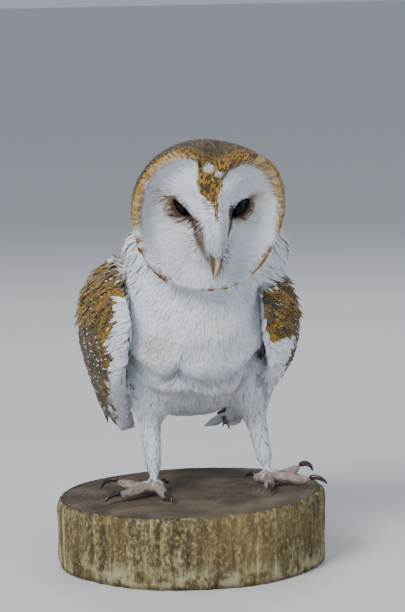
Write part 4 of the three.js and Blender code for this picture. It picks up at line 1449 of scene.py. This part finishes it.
def mantle_gold(where, around, colour):
    gold = mixed(GOLD, BUFF, 0.5 + rough(where, 5.0, 1, 61.0))
    return mixed(gold, UMBER, smoothstep(rough(where, 3.0, 1, 63.0), -0.2, 0.3) * 0.75)


def shoulder_tint(where, around, colour):
    outer = smoothstep(-where[:, 2], -192, -186) * smoothstep(-upright(where)[:, 0], 36, 41)
    return mixed(snowy(where, around, colour), mantle_gold(where, around, colour), outer)


for side, name in ((-1, "right"), (1, "left")):
    reach = side * triangle_upright[:, 0]
    tufted = (reach > 25) & (z_at > 180) & (z_at < 208) & (y_at > -48) & (y_at < -8) & ~owned("head")
    feathers("shoulder_down_" + name, down_plume, (tufted, 1.9), shaggy_lie, 15.0, 2.3, SOFT_VANE, 44 + side,
             sink=1.4, rise=2.6, cling=0.12, ruffle=0.22, spread=0.35, tint=shoulder_tint, spotted_share=0)
    mantle = (reach > 44) & (z_at > 158) & (z_at < 190) & (y_at > -44) & (y_at < 30) & ~owned("head")
    mantle &= (triangle_normal[:, 2] > -0.1) & (side * triangle_normal[:, 0] > -0.2)
    feathers("mantle_" + name, gold_plume, (mantle, 2.4), shaggy_lie, 14.0, 2.8, SOFT_VANE, 47 + side,
             "gold_feathers", sink=1.2, rise=2.4, cling=0.15, ruffle=0.24, spread=0.35, tint=mantle_gold,
             spotted_share=0.04)

# A pointed tuft hangs from the belly beside each leg.
for side, name, tuft_x, tuft_z in ((1, "left", 24.0, 99.0), (-1, "right", -13.0, 96.0)):
    tuft = belly_zone & (np.abs(x_at - tuft_x) < 7) & (np.abs(z_at - tuft_z) < 7) & (y_at < 10)
    feathers("belly_tuft_" + name, down_plume, (tuft, 1.3), leg_lie, 13.0, 2.0, SOFT_VANE, 49 + side,
             sink=1.6, rise=1.0, cling=0.1, ruffle=0.10)

# ---------- the tail and the wings' long quills ----------
# Stiff flight feathers, each a quill with a vane on both sides, set into the wing's rear edge and fanned
# at the tail. They are gold above with grey bars, and white within.

QUILL_RINGS = 16


def barred_quill():
    plume = Nodes("barred quill")
    split = plume.add("SeparateXYZ", Vector=plume.add("UVMap", {"uv_map": "Vane"}).outputs["UV"])
    side_way = plume.maths("SUBTRACT", split.outputs["X"], 0.5)
    across = plume.maths("ABSOLUTE", side_way)
    along = split.outputs["Y"]
    mottle = plume.noise(plume.place(), 420, 4)
    fine = plume.noise(plume.place(), 1500, 3)
    wave = plume.plus(plume.times(along, 26.0), plume.times(mottle, 2.6))
    bars = plume.between(plume.maths("SINE", wave), 0.25, 0.75)
    colour = plume.mix(plume.between(mottle, 0.4, 0.62), (0.46, 0.25, 0.05), (0.40, 0.27, 0.11))
    colour = plume.mix(plume.between(fine, 0.48, 0.6, 0, 0.55), colour, (0.16, 0.125, 0.09))
    colour = plume.mix(plume.times(bars, 0.8), colour, (0.085, 0.065, 0.05))
    tint = plume.add("Attribute", {"attribute_name": "Tint"})
    colour = plume.mix(tint.outputs["Alpha"], colour, tint.outputs["Color"])
    colour = plume.mix(plume.between(across, 0.03, 0.012, 0, 0.75), colour, (0.30, 0.22, 0.13))
    slant = plume.plus(along, plume.times(across, -0.28))
    barb = plume.maths("SINE", plume.times(slant, 520.0))
    plume.bump(barb, 0.35, 0.0002)
    return plume.set(
        Base_Color=colour, Roughness=0.62, Specular_IOR_Level=0.3, Sheen_Weight=0.1, Sheen_Roughness=0.5,
    )


def quills(name, vane_list, seed):
    """Long closed vanes, each given as root, tip, outward normal, half width, sag and pale share."""
    rng = np.random.default_rng(seed)
    bodies, faces, vanes, patches, tints = [], [], [], [], []
    columns = (1.0, 0.55, 0.0, -0.5, -0.9)
    for root, tip, normal, half, sag, pale in vane_list:
        root, tip, normal = (np.array(v, dtype=float) for v in (root, tip, normal))
        along = normalised(tip - root)
        up = normalised(normal - along * (normal @ along))
        side = np.cross(up, along)
        reach = np.linalg.norm(tip - root)
        base = len(bodies)
        _, _, triangle, weights = on_coat([root])
        patch = (form_uv[triangle] * weights[:, :, None]).sum(1)[0]
        bend = rng.uniform(-1.5, 1.5)
        for ring in range(QUILL_RINGS + 1):
            s = ring / QUILL_RINGS
            tapered = max(0.0, 1 - max(0.0, (s - 0.72) / 0.28) ** 2.2) ** 0.5
            spread = max(half * (0.5 + 0.5 * min(1, s / 0.25)) * tapered, 0.4)
            middle = root + along * reach * s - up * sag * s * s + side * bend * math.sin(s * math.pi)
            for layer, lift in ((1, 0.35), (-1, -0.25)):
                for column in columns:
                    cup = 0.9 * column * column * half / 10
                    shaft = 0.35 if column == 0 else 0.0
                    trail = 2.4 * abs(column) * (1 - s) * 0.6
                    at = middle + side * column * spread + up * (layer * (lift + shaft) - cup) - along * trail
                    bodies.append(at)
                    vanes.append((0.5 + 0.5 * column, s))
                    patches.append(patch + TUFT_PATCH * np.array([0.5 * column, s - 0.5]))
                    tints.append((*SNOW, 0.9 if layer < 0 else pale * (1 if column < -0.2 else 0.35)))
        wide = len(columns)
        around = [*range(wide), *range(2 * wide - 1, wide - 1, -1)]
        for ring in range(QUILL_RINGS):
            here, there = base + ring * 2 * wide, base + (ring + 1) * 2 * wide
            for one, other in zip(around, around[1:] + around[:1]):
                faces.append((here + one, there + one, there + other, here + other))
        faces.append(tuple(base + v for v in around))
        faces.append(tuple(base + QUILL_RINGS * 2 * wide + v for v in reversed(around)))
    mesh = bpy.data.meshes.new(name)
    mesh.from_pydata([tuple(v * MM) for v in np.array(bodies)], [], faces)
    quill_set = bpy.data.objects.new(name, mesh)
    bpy.context.collection.objects.link(quill_set)
    loops = np.empty(len(mesh.loops), dtype=int)
    mesh.loops.foreach_get("vertex_index", loops)
    lay_maps(quill_set, np.array(patches), np.array(vanes), loops)
    paint(quill_set, np.array(tints)[:, :3], np.array(tints)[:, 3])
    mesh.update()
    mesh.materials.append(quill_finish)
    take_up(quill_set)
    bpy.ops.object.mode_set(mode="EDIT")
    bpy.ops.mesh.select_all(action="SELECT")
    bpy.ops.mesh.normals_make_consistent(inside=False)
    bpy.ops.object.mode_set(mode="OBJECT")
    bpy.ops.object.shade_smooth_by_angle(angle=math.radians(60))
    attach(quill_set, "root")


def leaned(points):
    points = np.array(points, dtype=float)
    points[..., 0] += LEAN * (LEAN_PIVOT - points[..., 2])
    return points


QUILL_TIPS = (
    (203, 62), (195, 64.5), (186, 68), (177, 72), (168, 77), (159.5, 82), (152, 87), (145, 92.5), (138.5, 98),
    (132.5, 104), (127, 110), (122, 116), (117, 122),
)
WING_REAR = ((40, 70, 100, 140, 203), (50, 47, 42.5, 36, 28))
TAIL_FEATHERS = 12
TAIL_DIP = math.radians(14)
TAIL_FAN = math.radians(7)
quill_finish = barred_quill()
tail_vanes = []
for step in range(TAIL_FEATHERS):
    share = 2 * step / (TAIL_FEATHERS - 1) - 1
    turn = TAIL_FAN * share
    reach = 118 - 7 * share * share
    root = leaned([9.5 * share, 74, 99 - 1.2 * abs(share)])
    flat = reach * math.cos(TAIL_DIP)
    drop = reach * math.sin(TAIL_DIP) + 1.2 * abs(share)
    tip = root + [flat * math.sin(turn), flat * math.cos(turn), -drop]
    tail_vanes.append((root, tip, (0.25 * share, 0.2, 1.0), 9.0, 3.0, 0.12 if abs(share) < 0.8 else 0.5))
quills("tail_quills", tail_vanes, 51)
for side, name in ((-1, "right"), (1, "left")):
    wing_vanes = []
    for step, (tip_y, tip_z) in enumerate(QUILL_TIPS):
        share = step / (len(QUILL_TIPS) - 1)
        reach = 112 - 58 * share
        root_y, root_z = tip_y - reach * 0.945, tip_z + reach * (0.30 + 0.08 * share)
        root_x = np.interp(root_y, *WING_REAR) - 2.2
        tip_x = np.interp(tip_y, *WING_REAR) - 5.0 + 0.25 * step
        under, facing, _, _ = on_coat(leaned([[side * root_x, root_y, root_z]]))
        wing_vanes.append((
            under[0] - facing[0] * 5.0, leaned([side * tip_x, tip_y, tip_z]),
            (side * 0.95, 0.15, 0.28), 9.0 - 1.2 * share, 2.5, 0.14 * (1 - share),
        ))
    quills("wing_quills_" + name, wing_vanes, 60 + side)

# ---------- the coat on the wings ----------
# Coverts lie over the wing like slates, small at the shoulder and the front edge and long towards the
# quills. White runs down the front edge, then gold, then grey with white drops.


def wing_lie(places, normals):
    _, _, step = wing_place(places)
    side = np.where(places[:, 0] < 4, -1.0, 1.0)
    sweep = wing_along[step] * np.stack([side, 0 * side + 1, 0 * side + 1], 1)
    front = smoothstep(-places[:, 1], 15, 40)[:, None]
    return sweep + (0.22 * side)[:, None] * front * [1, 0, 0] + [0, 0, -0.42]


triangle_share, triangle_across, _ = wing_place(triangle_middle)
for side, name in ((-1, "right"), (1, "left")):
    wing_zone = owned("wing_" + name) & (y_at < 104) & (triangle_normal[:, 1] < 0.75)
    outer_face = side * triangle_normal[:, 0] > np.where(triangle_share < 0.13, -0.65, -0.15)
    edging = wing_zone & outer_face & ((triangle_share < 0.10) | (triangle_across < -0.72))
    small = wing_zone & outer_face & ~edging & (triangle_share < 0.30)
    middling = wing_zone & outer_face & ~edging & ~small & (triangle_share < 0.58)
    long_ones = wing_zone & outer_face & ~edging & ~small & ~middling
    inner_face = wing_zone & ~outer_face
    feathers("wing_edge_" + name, gold_plume, (edging, 1.5), wing_lie, 7.0, 2.6, TUFT_VANE, 70, sink=1.1,
             rise=0.4, ruffle=0.12, spotted_share=0.05)
    feathers("wing_lesser_" + name, gold_plume, (small, 2.0), wing_lie, 8.5, 4.0, ROUND_VANE, 71, sink=1.3,
             rise=0.6, ruffle=0.12, spotted_share=0.3, **GOLD_COAT)
    feathers("wing_median_" + name, covert_plume, (middling, 3.2), wing_lie, 16.0, 7.0, ROUND_VANE, 72,
             sink=1.5, rise=0.8, ruffle=0.09, cling=0.5, spotted_share=0.35, free_from=101, **GOLD_COAT)
    long_roots = scattered(long_ones, 4.2, 73)
    _, long_across, _ = wing_place(long_roots["place"])
    long_length = 27 - 9 * smoothstep(long_across, 0.2, 1.0)
    feathers("wing_greater_" + name, covert_plume, long_roots, wing_lie, long_length, 9.5, ROUND_VANE, 73,
             sink=1.6, rise=0.9, ruffle=0.07, cling=0.3, spotted_share=0.4, free_from=101, **GOLD_COAT)
    feathers("wing_lining_" + name, down_plume, (inner_face, 3.0), wing_lie, 14.0, 5.5, ROUND_VANE, 74,
             sink=1.2, rise=0.5, ruffle=0.1, free_from=101)

# ---------- the coat on the crown ----------
# Small scale-like feathers from the brow to the nape, gold with grey and black flecks. They run up the brow
# and back over the head, and short dark bristles stand in the notch between the two dishes.


def head_lie(places, normals):
    x, y, z = to_head(places).T
    front_side = smoothstep(-(y + face_forward(x, z)), -12, -4)
    lie = np.stack([0.012 * x, 1.0 - 0.6 * front_side, -0.25 + 1.2 * front_side * smoothstep(z, -5, 5)], 1)
    return lie @ HEAD_TURN.T


def brow_lie(places, normals):
    return np.tile([0.0, 0.2, 1.0], (len(places), 1)) @ HEAD_TURN.T


crown_plume = plume_finish("crown plume", spots=0.6, barbs=10, speckle=0.5, pale_edge=0.03, sheen=0.05)
face_x, face_y, face_z = to_head(triangle_middle).T
on_front = (face_y + face_forward(face_x, face_z) < 8) & owned("head")
in_notch = on_front & (notch_share(face_x, face_z) > 0.5) & (face_z > 2)
in_disc = on_front & ~in_notch & (disc_share(face_x, face_z) < 0.955)
crown_zone = owned("head") & ~in_disc & ~in_notch


def crown_tips(where, around, colour):
    """Dark tips with a gold fleck here and there."""
    dark = 0.45 + 0.50 * smoothstep(rough(where, 6.0, 2, 53.0), -0.3, 0.3)
    dark *= smoothstep(-colour[:, 2], -0.45, -0.25)
    return mixed(colour, mixed(UMBER, GOLD, 0.6 * rough(where, 2.0, 1, 59.0)), dark)


feathers("coat_crown", crown_plume, (crown_zone, 1.6), head_lie, 6.0, 2.6, TUFT_VANE, 81, "gold_feathers",
         sink=1.1, rise=0.35, ruffle=0.16, tip_tint=crown_tips, tip_from=0.3)
feathers("coat_brow", crown_plume, (in_notch, 0.7), brow_lie, 2.8, 1.2, TUFT_VANE, 82, "gold_feathers",
         sink=0.8, rise=0.5, ruffle=0.18)

# ---------- the coat on the face ----------
# Thousands of fine white filaments spread out over each dish from round the eye and the ridge. They
# start rusty at the lids, and run straight down the ridge to the root of the beak.


def face_flow(x, z):
    """Which way the filaments run at a place on the face: outwards and upwards, seen on its own side."""
    here = np.stack([np.abs(x), z], 1)
    start, end = np.array([3.0, 13.0]), np.array([5.0, -20.0])
    run = end - start
    share = np.clip(((here - start) @ run) / (run @ run), 0, 1)
    flow = normalised(here - (start + share[:, None] * run))
    along, across, half = lid_place(x, z)
    past = along - np.clip(along, -LID_LENGTH, LID_LENGTH)
    cosine, sine = math.cos(LID_TILT), math.sin(LID_TILT)
    from_lids = normalised(np.stack([past * cosine - across * sine, past * sine + across * cosine], 1))
    below = smoothstep(-across, -0.5, 2.5) * smoothstep(along, -13, -6)
    flow = normalised(flow + 2.2 * below[:, None] * from_lids)
    overhang = (bell(across, 4, 4) * (across > 0) * bell(along, 0, 8))[:, None]
    flow = normalised(flow + overhang * [0.1, -0.4])
    down = (bell(x, 0, 8) * smoothstep(-z, -6, 3))[:, None]
    upward = (bell(x, 0, 12) * smoothstep(z, 10, 18))[:, None]
    flow = normalised(flow * (1 - down) + down * [0.0, -1.0] + upward * [0.1, 0.4])
    towards = flow[:, 0] * sine - flow[:, 1] * cosine
    at_brow = (across > half) & (np.abs(along) < LID_LENGTH + 1)
    room = np.where(at_brow, (across - half + 0.6) / np.maximum(towards, 0.45), 100.0)
    beside_ridge = (x > 0) & (x < 8.2) & (z > -2) & (z < 13)
    return flow, np.where(beside_ridge, np.minimum(room, np.maximum(8.6 - x, 1.3)), room)


def face_lie(places, normals):
    x, y, z = to_head(places).T
    flow, room = face_flow(x, z)
    return np.stack([np.where(x < 0, -1.0, 1.0) * flow[:, 0], 0 * x, flow[:, 1]], 1) @ HEAD_TURN.T


filament = plume_finish("face filament", barbs=4, sheen=0.04, pale_edge=0.03)
gap_to_lids = lid_gap(face_x, face_z)
face_zone = in_disc & (gap_to_lids > 0.3)
for side, name in ((-1, "right"), (1, "left")):
    face_roots = scattered(face_zone & (face_x * side > 0), 0.59, 90 + side)
    root_x, _, root_z = to_head(face_roots["place"]).T
    at_lids = smoothstep(lid_gap(root_x, root_z), 0.5, 5.0)
    _, room = face_flow(root_x, root_z)
    filament_length = np.minimum(4.5 + 4.0 * at_lids, room)
    feathers("coat_face_" + name, filament, face_roots, face_lie, filament_length, 0.66, TUFT_VANE, 90 + side,
             sink=0.45 + 0.4 * at_lids, rise=0.30, ruffle=0.08, spread=0.2, tip_from=0.35, own_ends=True)

# Dark stiff lashes stand out from the outer and the lower edge of each eye.
_, lash_across, _ = lid_place(face_x, face_z)
lash_zone = in_disc & (gap_to_lids > 0.2) & (gap_to_lids < 2.2) & (lash_across < 0) & (np.abs(face_x) > 12.5)


def lash_brown(where, around, colour):
    return mixed(RUST * 0.45, RUST, 0.5 + rough(where, 1.5, 1, 67.0))


feathers("eye_lashes", filament, (lash_zone, 0.8), face_lie, 6.5, 0.5, TUFT_VANE, 93, sink=0.3, rise=0.7,
         cling=0.4, ruffle=0.12, spread=0.45, tint=lash_brown, spotted_share=0)

# ---------- the ruff round the face ----------
# Five close rows of stiff curved feathers stand up round the dish and lap outwards. They are gold over the
# brows and white below the cheeks, some with a brown tip.


def ruff_lie(places, normals):
    x, y, z = to_head(places).T
    outward = normalised(np.stack([x, 0 * x, z], 1))
    return (outward + [0, 0.35, 0]) @ HEAD_TURN.T


ruff_rows = []
for row_share, gap in ((0.925, 1.3), (0.945, 1.3), (0.965, 1.3), (0.985, 1.3), (1.005, 1.4)):
    turns = np.arange(0, 2 * math.pi, gap / 44)
    radius = curve_row(DISC_RADII, np.abs(np.arctan2(np.sin(turns), np.cos(turns))) / math.pi) * row_share
    x, z = radius * np.sin(turns), radius * np.cos(turns)
    ruff_rows.append(np.stack([x, -face_forward(x, z), z], 1))
_, _, ruff_triangle, ruff_weights = on_coat(from_head(np.concatenate(ruff_rows)))
ruff_roots = roots_at(ruff_triangle, ruff_weights)
ruff_x, _, ruff_z = to_head(ruff_roots["place"]).T
on_head = belongs(ruff_roots["owner"], "head")
ruff_roots = kept_roots(ruff_roots, (notch_share(ruff_x, ruff_z) < 0) & on_head)


def dashed(where, around, colour):
    """Orange brown tips on some of the white feathers along the lower rim."""
    x, y, z = to_head(where).T
    return mixed(colour, DASH_BROWN, dash_share(np.degrees(np.arctan2(x, z))))


feathers("coat_ruff", crown_plume, ruff_roots, ruff_lie, 5.2, 2.0, TUFT_VANE, 95, tip_tint=dashed,
         tip_from=0.15, sink=0.9, rise=0.9, ruffle=0.08, cling=0.3, fat=0.2, spotted_share=0)

bpy.data.objects.remove(form)
